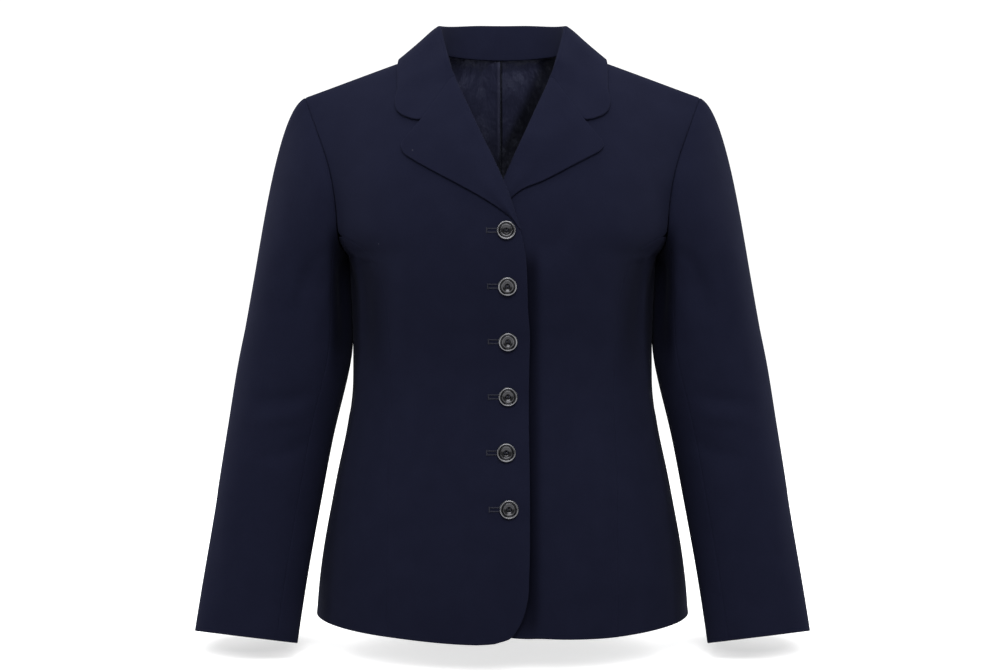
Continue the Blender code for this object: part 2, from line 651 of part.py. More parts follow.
def make_collar(name, material):
    """The stand rises from the neck seam, folds over and falls to the collar's outer edge. The
    grid's face is the one that shows: the stand's on the neck's side, then the fall's."""
    stations = np.array(COLLAR_STATIONS)
    knots = np.arange(len(COLLAR_SECTIONS))
    table = smooth(knots, np.array(COLLAR_SECTIONS, float), stations)
    seam, normals = neck_seam(stations)
    fold, edge = table[:, 0:3], seated(table[:, 3:6], WALL + COLLAR_LIFT)
    fold[-1] = seam[-1] + normals[-1] * GORGE_ROLL
    up = unit(fold - seam)
    aside = unit(np.cross(np.gradient(seam, axis=0), up))
    foot = seam + up * FOOT_GAP + aside * WALL / 2
    leaning = np.arccos(np.clip((-up * unit(edge - fold)).sum(1), -1, 1))
    last_turn = (np.pi - leaning * FALL_LEAN)[:, None]
    turns = last_turn * np.linspace(0, 1, 6)[:, None, None]
    centre, spoke = fold - up * FOLD_RADIUS, aside * np.cos(turns) + up * np.sin(turns)
    bend = centre + spoke * FOLD_RADIUS
    bend_back = centre + spoke * (FOLD_RADIUS - WALL)
    fall_start = bend[-1]
    fall_length = np.linalg.norm(edge - fall_start, axis=1, keepdims=True)
    leaving = up * np.cos(last_turn) - aside * np.sin(last_turn)
    near = fall_start + leaving * fall_length * FALL_DROP
    far = edge + (fall_start - edge) * FALL_REACH
    t = np.array(FALL_SHARES)[:, None, None]
    fall = fall_start * (1 - t) ** 3 + near * 3 * t * (1 - t) ** 2
    fall = fall + far * 3 * t**2 * (1 - t) + edge * t**3
    gorge_along, gorge_across = lapel_place(0.0, np.array(GORGE_SHARES) * NOTCH)
    point_along, point_across = on_front(COLLAR_POINT)
    end_along = np.concatenate([gorge_along, point_along])
    end_across = np.concatenate([gorge_across, point_across])
    fall[:, -1] = body(end_along, end_across)
    fall[:, -1] += outward(end_along, end_across) * (WALL + COLLAR_LIFT)
    fall = clear_of_body(fall, WALL + COLLAR_LIFT)
    middle = (foot + bend[0]) / 2
    shown = both_halves([foot, middle, *bend, *fall])
    covered = both_halves([foot - aside * WALL, middle - aside * WALL, *bend_back])
    faces = unit(np.cross(np.gradient(shown, axis=0), np.gradient(shown, axis=1)))
    faces[-1, -len(end_along) :] = outward(end_along, end_across)
    faces[0, -len(end_along) :] = faces[-1, -len(end_along) :] * (-1, 1, 1)
    hidden = shown - faces * WALL
    hidden[:, : covered.shape[1]] = covered
    trim(shown, hidden, first_row=COLLAR_END_GAP, last_row=COLLAR_END_GAP)
    return add_wall(name, shown, hidden, material)


def make_back_lining(name, material):
    """The lining inside the backs, from the neck and the shoulders to above the hem, with a
    pleat down its middle."""
    half = np.concatenate([PLEAT_COLUMNS, BACK_COLUMNS[1:-2], [LINING_SIDE]])
    across = np.concatenate([-half[:0:-1], half])
    top = np.full(len(across), ALONG_SHOULDER + LINING_INSET)
    for _ in range(4):
        x = abs(body(top, across)[:, 0]) / NECK_SIDE
        neck = ALONG_SHOULDER + (NECK_BACK - ALONG_SHOULDER) * np.sqrt(np.clip(1 - x**2, 0, 1))
        top = neck + LINING_INSET
    rows = np.concatenate([BACK_UPPER_ROWS, BACK_LOWER_ROWS[1:]])
    rows = rows[(rows > NECK_BACK + 25) & (rows < ALONG_END - LINING_HEM - 5)]
    rows = np.append(rows, ALONG_END - LINING_HEM)[:, None] + 0 * across
    head = top + (rows[0] - top) * np.linspace(0, 1, 6)[:-1, None]
    along = np.concatenate([head, rows])
    across = np.broadcast_to(across, along.shape)
    normals = outward(along, across)
    pleat = PLEAT_HEIGHT * (np.abs(across) <= PLEAT_COLUMNS[1])
    shown = body(along, across) - normals * (WALL + LINING_GAP + LINING_WALL + pleat)[..., None]
    return add_wall(name, shown, shown + normals * LINING_WALL, material)


def make_buttons(material):
    """Turned discs with a raised rim, set square on the upper front."""
    mesh = bpy.data.meshes.new("button")
    points = [(radius * MM, 0, height * MM) for radius, height in BUTTON_PROFILE]
    mesh.from_pydata(points, [(i, i + 1) for i in range(len(points) - 1)], [])
    mesh.materials.append(material)
    for number, (x, seat) in enumerate(BUTTONS):
        height = BUTTON_TOP_Z - BUTTON_STEP * number
        along, across = on_front([(-x, height)])
        place, normal = body(along, across)[0], outward(along, across)[0]
        place, normal = (place + normal * seat) * (-1, 1, 1), normal * (-1, 1, 1)
        button = bpy.data.objects.new(f"button_{number + 1}", mesh)
        button.location = place * MM
        button.rotation_euler = mathutils.Vector(normal).to_track_quat("Z", "Y").to_euler()
        screw = button.modifiers.new("turn", "SCREW")
        screw.steps = screw.render_steps = BUTTON_SIDES
        screw.use_merge_vertices = True
        screw.merge_threshold = 0.00001
        COLLECTION.objects.link(button)


def add_material(name, colour, roughness):
    material = bpy.data.materials.new(name)
    material.use_nodes = True
    shader = material.node_tree.nodes["Principled BSDF"]
    shader.inputs["Base Color"].default_value = colour
    shader.inputs["Roughness"].default_value = roughness
    return material


def make_blazer():
    cloth = add_material("navy_cloth", NAVY, 0.85)
    make_back_lining("back_lining", add_material("lining_satin", LINING_NAVY, 0.4))
    make_collar("collar", cloth)
    make_buttons(add_material("button_black", BLACK, 0.12))
    turns = sleeve_turns()
    top = (turns > HIND_SEAM - 1) & (turns < FORE_SEAM + 1)
    hind = turns[(turns > -179) & (turns < HIND_SEAM + 1)]
    under = np.concatenate([turns[turns > FORE_SEAM - 1], 360 + hind])
    for word, side in SIDES.items():
        make_front(f"front_{word}", side, cloth)
        make_side_front(f"side_front_{word}", side, cloth)
        make_back(f"back_{word}", side, cloth)
        make_sleeve(f"top_sleeve_{word}", side, turns[top], cloth)
        make_sleeve(f"under_sleeve_{word}", side, under, cloth)
        make_lapel(f"lapel_{word}", side, cloth)


make_blazer()
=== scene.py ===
"""The finished blazer: its cloth, lining, buttons and stitching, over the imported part.

Tables are in millimetres and degrees, and describe the half on the wearer's left, at +X. The
body is one surface that runs from the front hem over the shoulder to the back hem: `along` is
the distance up the front and down the back, and `across` goes from 0 at the middle to 1 at the
side seam or armhole. Every panel is a grid on that surface with a wall's thickness, whose
borders are rounded at a finished edge and dip at a seam.
"""

import math

import bpy
import numpy as np
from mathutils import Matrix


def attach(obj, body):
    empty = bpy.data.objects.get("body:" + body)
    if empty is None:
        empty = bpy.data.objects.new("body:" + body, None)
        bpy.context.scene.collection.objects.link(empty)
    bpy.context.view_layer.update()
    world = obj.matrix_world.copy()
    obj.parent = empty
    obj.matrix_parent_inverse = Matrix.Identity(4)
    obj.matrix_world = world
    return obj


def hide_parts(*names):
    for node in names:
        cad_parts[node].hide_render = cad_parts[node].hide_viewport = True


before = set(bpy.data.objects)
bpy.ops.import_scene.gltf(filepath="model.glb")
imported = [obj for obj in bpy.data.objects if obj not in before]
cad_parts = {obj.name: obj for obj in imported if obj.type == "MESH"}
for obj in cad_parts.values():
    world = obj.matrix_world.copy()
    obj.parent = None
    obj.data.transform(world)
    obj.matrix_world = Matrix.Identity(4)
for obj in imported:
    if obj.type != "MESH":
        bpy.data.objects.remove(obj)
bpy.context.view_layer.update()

MM = 0.001
SIDES = {"right": -1, "left": 1}  # the wearer's, and the sign of x
STEP = 3.6  # between a grid's lines
NEAR = np.array([0, 0.12, 0.35, 0.75, 1.4, 2.4])  # a grid's lines next to its border
ROOM = 11.0  # a narrower row draws those lines together
WALL = 2.0  # cloth with its interlining
LINING_WALL = 1.0
EDGE_ROUND = 0.93  # of half the wall, at a finished edge
SEAM_DIP = 0.7
SOFT_DIP = 0.35  # at a pressed seam that hardly shows
ARMHOLE_DIP = 1.1
SEAM_REACH = 2.2
SEAM_GAP = 0.02
FACING = 82.0  # the fronts' own cloth inside, from their edge
HEM_TURN = 36.0  # and the hems'
CUFF_TURN = 30.0
LINING_EASE = 0.8  # how far the lining stands in from the cloth
TURN_RADIUS = 3.7  # of the cloth's outer face where a lapel turns back
LAPEL_LIFT = 1.6  # between a lapel and the front it lies on
LAPEL_PUFF = 3.0
OVERLAP_DEPTH = 2.7  # how far the lower front lies in, under the upper one
HEM_DEPTH = 2.6  # how much more towards the hem, where the upper one stands off
LAPEL_DEPTH = 5.0  # and under the lapels' crossing
EDGE_LIFT = 1.0  # how far the upper front's edge stands out
EDGE_HOLLOW = 5.5  # and how far the lower one is hollow beside it
HOLLOW_X = 27.0  # where that hollow is deepest, and its width
HOLLOW_WIDTH = 8.0
UPPER_HANG = 1.6  # how far the upper front hangs down at the middle of the hem
LOWER_RISE = 3.4  # and how far the lower one is drawn up

# The body's rows: the middle, the edge, the way the row runs at its edge (turned from +X
# towards the back, and dropped below level), and the lengths of its two handles.
# middle y, z | edge x, y, z | turn, drop | near, far
FRONT_ROWS = [
    (-150, -609, 200, 0, -604, 90, 0, 118, 82),
    (-151, -560, 195, 0, -560, 90, 0, 116, 82),
    (-149, -510, 188, 0, -510, 90, 0, 112, 80),
    (-144, -455, 178, 0, -455, 90, 0, 106, 78),
    (-136, -400, 166.5, 0, -400, 90, 0, 98, 74),
    (-132, -355, 161.5, 0, -355, 90, 0, 95, 72),
    (-135, -310, 161.5, 0, -310, 90, 0, 98, 74),
    (-142, -272, 162.5, 0, -272, 90, 0, 104, 80),
    (-146, -244, 164, 0, -244, 90, 0, 108, 83),
]
ARMHOLE_ROWS = [
    (-147, -221, 166, 0, -220, 90, 0, 110, 86),
    (-147, -212, 169, -30, -216, 82, 0, 109, 60),
    (-146, -200, 172.5, -53, -204, 68, 0, 107, 45),
    (-143, -180, 173.5, -63, -180, 57, 0, 102, 42),
    (-135, -152, 177, -62, -150, 46, 0, 95, 50),
    (-121, -120, 184, -52, -122, 38, 3, 90, 55),
    (-101, -84, 195, -36, -93, 30, 8, 85, 60),
    (-68, -38, 206, -17, -66, 18, 15, 70, 70),
    (0, 17, 213, 2, -49, 0, 20, 45, 100),
    (56, 6, 208, 22, -62, -16, 16, 60, 75),
    (80, -35, 198, 42, -90, -28, 9, 75, 60),
    (95, -80, 188, 57, -125, -38, 4, 80, 55),
    (104, -125, 180, 64, -160, -48, 0, 85, 50),
    (107, -172, 174, 58, -195, -66, 0, 92, 42),
    (107, -204, 169, 32, -215, -81, 0, 96, 55),
    (106, -221, 166, 0, -220, -90, 0, 98, 78),
]
BACK_ROWS = [
    (105, -244, 164, 0, -244, -90, 0, 98, 74),
    (103, -272, 162.5, 0, -272, -90, 0, 97, 68),
    (99, -310, 161.5, 0, -310, -90, 0, 94, 60),
    (98, -355, 161.5, 0, -355, -90, 0, 92, 54),
    (104, -400, 166.5, 0, -400, -90, 0, 94, 56),
    (116, -455, 178, 0, -455, -90, 0, 100, 63),
    (128, -510, 188, 0, -510, -90, 0, 105, 70),
    (137, -560, 195, 0, -560, -90, 0, 108, 75),
    (142, -605, 200, 0, -604, -90, 0, 110, 78),
]
ROWS = np.array(FRONT_ROWS + ARMHOLE_ROWS + BACK_ROWS, float)
UNDERARM_FRONT = len(FRONT_ROWS)
SHOULDER = UNDERARM_FRONT + 8
UNDERARM_BACK = UNDERARM_FRONT + len(ARMHOLE_ROWS) - 1
ROW_EVENING = 9.0  # how far along the body the rows are averaged

# The front's free edge from the hem's corner up to the lapel's break, x and z.
FRONT_EDGE = [
    (26, -609), (12, -608), (3, -606), (-4.5, -603.8), (-9.5, -600.5), (-14, -594.6),
    (-19.5, -584.6), (-23, -574.5), (-25.5, -563), (-26.8, -540), (-27.5, -483), (-27.7, -308),
    (-25.7, -275), (-24.6, -239), (-22.2, -213), (-18.5, -197),
]
# The roll line from the break up to the gorge seam, where the cloth turns back, x and z.
ROLL_LINE = [
    (-13.6, -177), (-6.8, -158.5), (0.2, -141.6), (16.8, -105.6), (34, -68), (48.7, -34.5),
]
NECK_SIDE = 70  # half the neck's width at the high point of the shoulder
FRONT_NECK = [(61, -9), (67.5, 1)]  # the front's neck seam above the gorge, x and z
# The princess seam from the hem up into the armhole, x and z.
PRINCESS = [
    (117, -607), (117, -500), (115.5, -400), (116, -330), (118, -285),
    (122, -256), (131, -230), (143, -214), (158, -205), (172, -198),
]
# The lapel's outer edge from its point down to the break, x and z, and how far down the roll
# line each place is met. The gorge runs straight on into the lapel's upper edge.
# x, z, share
LAPEL_EDGE = [
    (101.3, -102.6, 0.0), (103.6, -108.5, 0.06), (101, -115.5, 0.13), (91.5, -123, 0.24),
    (73.7, -133.5, 0.38), (48.4, -147.2, 0.55), (23.2, -161.2, 0.72), (6.5, -171.7, 0.84),
    (-6.5, -181.5, 0.94), (-13, -187.5, 0.99),
]
# The wearer's left lapel, which lies lower, is cut shorter towards the break.
LOWER_LAPEL_EDGE = [
    (101.3, -102.6, 0.0), (103.0, -108.2, 0.06), (99.5, -113.7, 0.13), (86.0, -121.7, 0.24),
    (67.0, -131.5, 0.38), (41.0, -143.2, 0.55), (19.0, -152.5, 0.72), (6.0, -163.5, 0.84),
    (-5.0, -176.0, 0.94), (-12.0, -186.0, 0.99),
]
NOTCH = 0.585  # of the way from the roll line to the lapel's point
GORGE_BOW = 6.8  # how far the gorge seam sags from a straight line

# The armhole's angles for ARMHOLE_ROWS: 0 at the shoulder, 90 in front, 180 under the arm. Then
# the way in which the sleeve leaves the seam, and how strongly.
# round | way x, y, z | pull
CROWN = [
    (180, -0.05, 0.0, -1.0, 40),
    (152, 0.25, -0.12, -0.96, 42),
    (125, 0.50, -0.28, -0.82, 48),
    (101, 0.80, -0.35, -0.50, 56),
    (80, 0.93, -0.30, -0.22, 64),
    (61, 0.93, -0.27, -0.25, 72),
    (42, 0.92, -0.24, -0.30, 80),
    (22, 0.93, -0.14, -0.33, 86),
    (0, 0.94, 0.0, -0.34, 90),
    (-22, 0.93, 0.14, -0.33, 86),
    (-44, 0.92, 0.24, -0.30, 80),
    (-68, 0.93, 0.27, -0.25, 72),
    (-94, 0.92, 0.30, -0.28, 64),
    (-124, 0.60, 0.30, -0.74, 52),
    (-152, 0.25, 0.12, -0.96, 42),
    (-180, -0.05, 0.0, -1.0, 40),
]
# The sleeve's rings from the biceps to the hem.
# outer end x, z | inner end x, z | middle y | depth | pitch
SLEEVE_RINGS = [
    (268.5, -247, 161.8, -264, 2, 112, 0),
    (276.5, -293, 160.8, -312, 1, 110, 1),
    (284, -337, 168.0, -357, -3, 105, 5),
    (291.3, -391, 181, -410, -10, 97, 10),
    (300.2, -454, 191.5, -472.5, -25, 87, 13),
    (308.7, -516, 201.5, -532, -40, 75, 13),
    (315.9, -567, 208.6, -580.5, -52, 63, 13),
    (321.8, -613, 214.5, -626, -62, 54, 12),
]
CROWN_EVENING = 12.0
RING_EVENING = 0.35
CROWN_FALL = 0.85  # of the crown's length, the strength with which it runs into the first ring
FORE_SEAM = 125  # the sleeve's seams, as angles round it
HIND_SEAM = -124
INNER_FLATNESS = 0.8  # of the sleeve where it lies beside the body

# The collar's sections from the centre back to the gorge.
# fold x, y, z | outer edge x, y, z
COLLAR_SECTIONS = [
    (0, 77, 37, 0, 92, -16),
    (22, 75, 37, 30, 91, -16),
    (42, 66, 35.5, 60, 80, -15),
    (58, 45, 32.5, 88, 57, -13),
    (67, 20, 30, 106, 28, -10),
    (68.5, -6, 26, 112, -8, -11),
    (66, -24, 12, 113, -34, -22),
    (60.3, -48.5, -10, 113, -55, -38),
    (56.2, -57, -22.8, 112.5, -68, -54),
    (53.3, -61.7, -31, 106, -78, -72),
]
BACK_SECTIONS = 5
FRONT_SECTION_SHARES = [0.2, 0.45, 0.7, 0.88, 1.0]  # of the way from the shoulder to the gorge
FOLD_RADIUS = 3.0
FOOT_INSET = 3.6  # of the stand's foot from the neck seam, inwards and down
FOOT_DROP = 4.0
FALL_LEAN = 0.88  # how much of the way to its edge the fall leans already at the fold
FALL_DROP = 0.3  # of the fall's length, how far it first keeps that lean
FALL_REACH = 0.4  # and how far it is straight before its edge
# The collar's end past the notch, out to its point: x and z.
COLLAR_END = [(92.5, -80.4), (103, -76.4), (109, -71.2)]
COLLAR_LIFT = 2.0  # between the collar's fall and the body
LAST_STATION = len(COLLAR_SECTIONS) - 1
SECTION_EVENING = 0.3
JOINING = (7.0, LAST_STATION)  # the stations over which the sections turn into the lapel's first
PARTING = (7.6, 6.8)  # and over which the hidden face leaves the stand's and the fold's own
STATION_COUNT = 86
BEND_COUNT = 13
FALL_COUNT = 26
# About how long a section's step, the stand, the fall and the roll line are, which turns NEAR's
# places into shares of them.
SECTION_LENGTH = 26
STAND_LENGTH = 30
FALL_LENGTH = 75
ROLL_LENGTH = 190

# The buttons from the top, x, and the ends of their buttonholes.
BUTTON_X = [3.8, 4.9, 5.5, 5.5, 3.8, 6.5]
BUTTON_TOP_Z = -195.3
BUTTON_STEP = 55.9


def unit(vectors):
    """Each vector divided by its length."""
    return vectors / np.linalg.norm(vectors, axis=-1, keepdims=True)


def smooth(knots, values, at):
    """A cubic through the values that never passes beyond two neighbours."""
    knots, values, at = (np.asarray(item, float) for item in (knots, values, at))
    rates = (np.diff(values, axis=0).T / np.diff(knots)).T
    before, after = np.concatenate([rates[:1], rates]), np.concatenate([rates, rates[-1:]])
    most = 3 * np.minimum(abs(before), abs(after)) * (before * after > 0)
    slopes = np.clip(np.gradient(values, knots, axis=0), -most, most)
    low = np.clip(np.searchsorted(knots, at, side="right") - 1, 0, len(knots) - 2)
    step = knots[low + 1] - knots[low]
    t = np.clip((at - knots[low]) / step, 0, 1)
    if values.ndim > 1:
        t, step = t[..., None], step[..., None]
    rise = values[low + 1] - values[low]
    ends = slopes[low] * step * t * (1 - t) ** 2 - slopes[low + 1] * step * t**2 * (1 - t)
    return values[low] + rise * t**2 * (3 - 2 * t) + ends


def evened(knots, values, at, spread):
    """The smooth curve averaged, with a bell's weights, over a spread round each place, which
    shrinks to nothing at both ends."""
    at = np.asarray(at, float)
    reach = np.minimum(spread, np.minimum(at - knots[0], knots[-1] - at).clip(0) / 2)
    offsets = np.linspace(-2, 2, 9)
    weights = np.exp(-(offsets**2) / 2)
    weights /= weights.sum()
    parts = [smooth(knots, values, at + d * reach) * w for d, w in zip(offsets, weights)]
    return sum(parts)


def ease(value, start, end):
    """0 at start, 1 at end, level at both."""
    t = np.clip((value - start) / (end - start), 0, 1)
    return t * t * (3 - 2 * t)


def bezier(first, second, third, last, t):
    """A cubic Bezier curve: the sum of its four points, weighted (1-t)^3, 3t(1-t)^2, 3t^2(1-t)
    and t^3."""
    start = first * (1 - t) ** 3 + second * 3 * t * (1 - t) ** 2
    return start + third * 3 * t**2 * (1 - t) + last * t**3


def arc(points):
    """The distance gone at each point of a track, along the second last axis."""
    legs = np.linalg.norm(np.diff(points, axis=-2), axis=-1)
    start = np.zeros(legs.shape[:-1] + (1,))
    return np.concatenate([start, legs.cumsum(-1)], axis=-1)


MIDDLES = (np.pad(ROWS[:, 0:2], ((0, 0), (1, 0))) + ROWS[:, 2:5]) / 2
ALONG = arc(MIDDLES)
ALONG_SHOULDER = ALONG[SHOULDER]
ALONG_END = ALONG[-1]


def body(along, across):
    """Points of the body: each row is a Bezier curve from the middle to the edge, and a
    negative `across` is the mirror image."""
    along, across = np.broadcast_arrays(along, across)
    row = evened(ALONG, ROWS, along, ROW_EVENING)
    turn, drop = np.radians(row[..., 5]), np.radians(row[..., 6])
    way = np.stack([np.cos(turn) * np.cos(drop), np.sin(turn) * np.cos(drop), -np.sin(drop)], -1)
    zero = np.zeros_like(along, float)
    first = np.stack([zero, row[..., 0], row[..., 1]], -1)
    last = row[..., 2:5]
    second = first + np.stack([row[..., 7], zero, zero], -1)
    third = last - way * row[..., 8:9]
    points = bezier(first, second, third, last, np.abs(across)[..., None])
    points[..., 0] *= np.where(across < 0, -1, 1)
    return points


def outward(along, across):
    """The body's unit normals, pointing out."""
    step = 0.001
    a = np.clip(along, 2, ALONG_END - 2)
    across = np.clip(across, -1 + step, 1 - step)
    up = body(a + 1, across) - body(a - 1, across)
    side = body(a, across + step) - body(a, across - step)
    return unit(np.cross(side, up))


def across_at(along, x):
    """Where each row is at x."""
    steps = np.linspace(0, 1, 81)
    along, x = (np.ravel(item) for item in np.broadcast_arrays(along, x))
    tracks = body(along[:, None], steps[None, :])[..., 0]
    found = [np.interp(abs(value), track, steps) for value, track in zip(x, tracks)]
    return np.array(found) * np.where(x < 0, -1, 1)


def on_front(table):
    """(along, across) of points of the front given by x and z."""
    x, z = np.array(table, float).T
    along = np.interp(z, ROWS[: SHOULDER + 1, 1], ALONG[: SHOULDER + 1])
    for _ in range(12):
        across = across_at(along, x)
        here = body(along, across)[:, 2]
        rise = (body(along + 0.5, across)[:, 2] - body(along - 0.5, across)[:, 2]).clip(0.2)
        along = np.clip(along + (z - here) / rise, 0, ALONG_SHOULDER)
    return along, across_at(along, x)


def sunk(points, normals, side):
    """The points moved along their normals: the wearer's left front lies in, under the right
    one, near the front edge, and is hollow beside it by a bell across x. The right one's edge
    stands out a little."""
    x, z = points[..., 0], points[..., 2]
    below = ease(z, -215, -250)
    if side < 0:
        lift = EDGE_LIFT * ease(x, 2, -24) * (points[..., 1] < 0) * below
        return points + normals * lift[..., None]
    depth = OVERLAP_DEPTH * ease(x, 75, 32)
    depth += HEM_DEPTH * ease(x, 62, 33) * ease(z, -360, -560)
    bell = np.exp(-(((x - HOLLOW_X) / HOLLOW_WIDTH) ** 2))
    depth += EDGE_HOLLOW * bell * below * ease(z, -610, -560)
    depth += LAPEL_DEPTH * ease(x, 80, 36) * ease(z, -235, -205) * ease(z, -95, -130)
    return points - normals * depth[..., None]


def hung(points, side):
    """The upper front hangs lower at the middle of the hem, and the lower one higher."""
    drop = UPPER_HANG if side < 0 else -LOWER_RISE
    drop = drop * ease(points[..., 0], 120, 30) * ease(points[..., 2], -530, -600)
    return points - drop[..., None] * (0, 0, 1.0)


# ---- grids, walls and their borders ----


def spaced(length, step):
    """Places from 0 to a length, closer together near both ends."""
    near = NEAR * min(1, length / ROOM)
    count = max(2, round((length - 2 * near[-1]) / step))
    middle = np.linspace(near[-1], length - near[-1], count + 1)
    return np.concatenate([near[:-1], middle, length - near[-2::-1]])


def rows_down(surface, start, end, column, step=STEP):
    """A surface's row places at even distances down one of its columns."""
    fine = np.linspace(start, end, 800)
    gone = arc(surface(fine, np.full(fine.shape, float(column))))
    return np.interp(spaced(gone[-1], step), gone, fine)


def columns_over(surface, rows, first, last, step=STEP, near_first=True):
    """A surface's column places for each row, at even distances between its two borders, and
    closer together next to them."""
    share = np.linspace(0, 1, 161)
    span = (last - first)[:, None]
    gone = arc(surface(rows[:, None], first[:, None] + span * share))
    width = gone[:, -1:]
    near = NEAR * np.minimum(1, width / ROOM)
    count = max(3, round(width.max() / step))
    middle = near[:, -1:] + (width - 2 * near[:, -1:]) * np.linspace(0, 1, count)[1:-1]
    before = near if near_first else near[:, [0, -1]]
    wanted = np.concatenate([before, middle, width - near[:, ::-1]], axis=1)
    places = np.stack([np.interp(w, g, share) for w, g in zip(wanted, gone)])
    return first[:, None] + span * places


def from_line(points, line):
    """Each point's distance from a line of points, and how far along it the nearest place is."""
    leg = np.diff(line, axis=0)
    gone = points[..., None, :] - line[:-1]
    share = np.clip((gone * leg).sum(-1) / (leg * leg).sum(-1).clip(1e-9), 0, 1)
    distance = np.linalg.norm(gone - share[..., None] * leg, axis=-1)
    nearest = distance.argmin(-1)[..., None]
    place = (nearest + np.take_along_axis(share, nearest, -1))[..., 0] / len(leg)
    return np.take_along_axis(distance, nearest, -1)[..., 0], place


def bordered(outer, inner, edges="", seams="", free=1.0, dip_depth=SEAM_DIP):
    """Rounds the faces of a wall at its finished edges, by a quarter circle from each side, and
    dips its outer face at its seams. The borders are t(op), b(ottom), l(eft) and r(ight): the
    first row, last row, first column and last column. A row's border that is in both is an edge
    where `free` is 1 and a seam where it is 0."""
    into = inner - outer
    thick = np.linalg.norm(into, axis=-1, keepdims=True)
    into = into / thick
    band = len(NEAR) + 2
    cuts = {
        "t": (outer[0], (slice(0, band), slice(None))),
        "b": (outer[-1], (slice(-band, None), slice(None))),
        "l": (outer[:, 0], (slice(None), slice(0, band))),
        "r": (outer[:, -1], (slice(None), slice(-band, None))),
    }
    drop, dip = np.zeros(outer.shape[:2]), np.zeros(outer.shape[:2])
    for border, (line, zone) in cuts.items():
        if border not in edges + seams:
            continue
        distance = from_line(outer[zone], line)[0]
        part = float(border in edges)
        if border in edges and border in seams:
            part = free
        radius = thick[zone][..., 0] / 2
        inwards = 1 - np.clip(distance / radius, 0, 1)
        round_off = radius * EDGE_ROUND * (1 - np.sqrt(1 - inwards**2))
        drop[zone] = np.maximum(drop[zone], round_off * part)
        hollow = dip_depth * (1 - np.clip(distance / SEAM_REACH, 0, 1)) ** 2
        dip[zone] = np.maximum(dip[zone], hollow * (1 - part))
    fallen = np.maximum(drop, dip)[..., None]
    return outer + into * fallen, inner - into * drop[..., None]


def creased(points, normals, creases):
    """Moves the points along their normals for each crease, a line of points with a width and
    a height: a bell across the line, which fades out towards its ends."""
    rise = np.zeros(points.shape[:2])
    for line, width, height in creases:
        distance, place = from_line(points, line)
        fade = np.sin(np.pi * np.clip(place, 0.001, 0.999)) ** 0.8
        rise += height * fade * np.exp(-((distance / width) ** 2))
    return points + normals * rise[..., None]


def curved_line(surface, table, count=14):
    """A line on a surface, smooth through a few places given by row and column."""
    table = np.array(table, float)
    at = np.linspace(0, len(table) - 1, count)
    places = smooth(np.arange(len(table)), table, at)
    return surface(places[:, 0], places[:, 1])


def placed(name, data):
    """A new object in the scene."""
    made = bpy.data.objects.new(name, data)
    bpy.context.scene.collection.objects.link(made)
    return made


def smooth_mesh(name, points, faces, materials):
    """A smooth mesh in metres from points in millimetres."""
    mesh = bpy.data.meshes.new(name)
    mesh.from_pydata((points * MM).tolist(), [], faces)
    for material in materials:
        mesh.materials.append(material)
    mesh.shade_smooth()
    return mesh


def add_mesh(name, points, faces, materials, finish=None, cut=None):
    """A mesh with its faces turned outwards, a finish for each face, and each point's place on
    the flat cloth as its UV map."""
    corners = points[faces]
    middle = corners.mean(axis=1, keepdims=True)
    turned = np.roll(corners, -1, axis=1)
    volume = (middle * np.cross(corners - middle, turned - middle)).sum()
    if volume < 0:
        faces = faces[:, ::-1]
    mesh = smooth_mesh(name, points, faces.tolist(), materials)
    if finish is not None:
        mesh.polygons.foreach_set("material_index", np.asarray(finish, np.int32))
    if cut is not None:
        layer = mesh.uv_layers.new(name="cut")
        layer.data.foreach_set("uv", (cut[faces.ravel()] * MM).ravel())
    mesh.update()
    return placed(name, mesh)


def flat_places(grid):
    """How far each point is across and down the cloth, from its middle column and first row."""
    middle = grid.shape[1] // 2
    across = arc(grid)
    down = arc(grid[:, middle])
    across = across - across[:, middle : middle + 1]
    return np.stack([across, np.broadcast_to(down[:, None], across.shape)], -1)


def add_wall(name, outer, inner, materials, lined=None, side=1, nodes=()):
    """A closed wall of cloth between two grids, with its rim, as one piece of the garment.
    `lined` marks the cells of the inner face that have the second finish."""
    rows, columns = outer.shape[:2]
    points = np.concatenate([outer.reshape(-1, 3), inner.reshape(-1, 3)]) * (side, 1, 1)
    index = np.arange(rows * columns).reshape(rows, columns)
    corners = (index[:-1, :-1], index[:-1, 1:], index[1:, 1:], index[1:, :-1])
    face = np.stack([corner.ravel() for corner in corners], 1)
    far = index.size
    rim = np.concatenate([index[0], index[1:, -1], index[-1, -2::-1], index[-2::-1, 0]])
    start, end = rim[:-1], rim[1:]
    sides = np.stack([end, start, start + far, end + far], 1)
    faces = np.concatenate([face, face[:, ::-1] + far, sides])
    inside = np.zeros(len(face)) if lined is None else lined.ravel()
    finish = np.concatenate([np.zeros(len(face)), inside, np.zeros(len(sides))])
    flat = flat_places(outer)
    cut = np.concatenate([flat.reshape(-1, 2), flat.reshape(-1, 2) + (0.5, 0.5)])
    piece = add_mesh(name, points, faces, materials, finish, cut)
    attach(piece, "root")
    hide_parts(*nodes)
    length = arc(outer.swapaxes(0, 1))[:, -1].max() * MM


def cell_means(values):
    """The mean of each cell's four corners."""
    return (values[:-1, :-1] + values[1:, :-1] + values[:-1, 1:] + values[1:, 1:]) / 4


# ---- the fronts, side fronts and backs ----

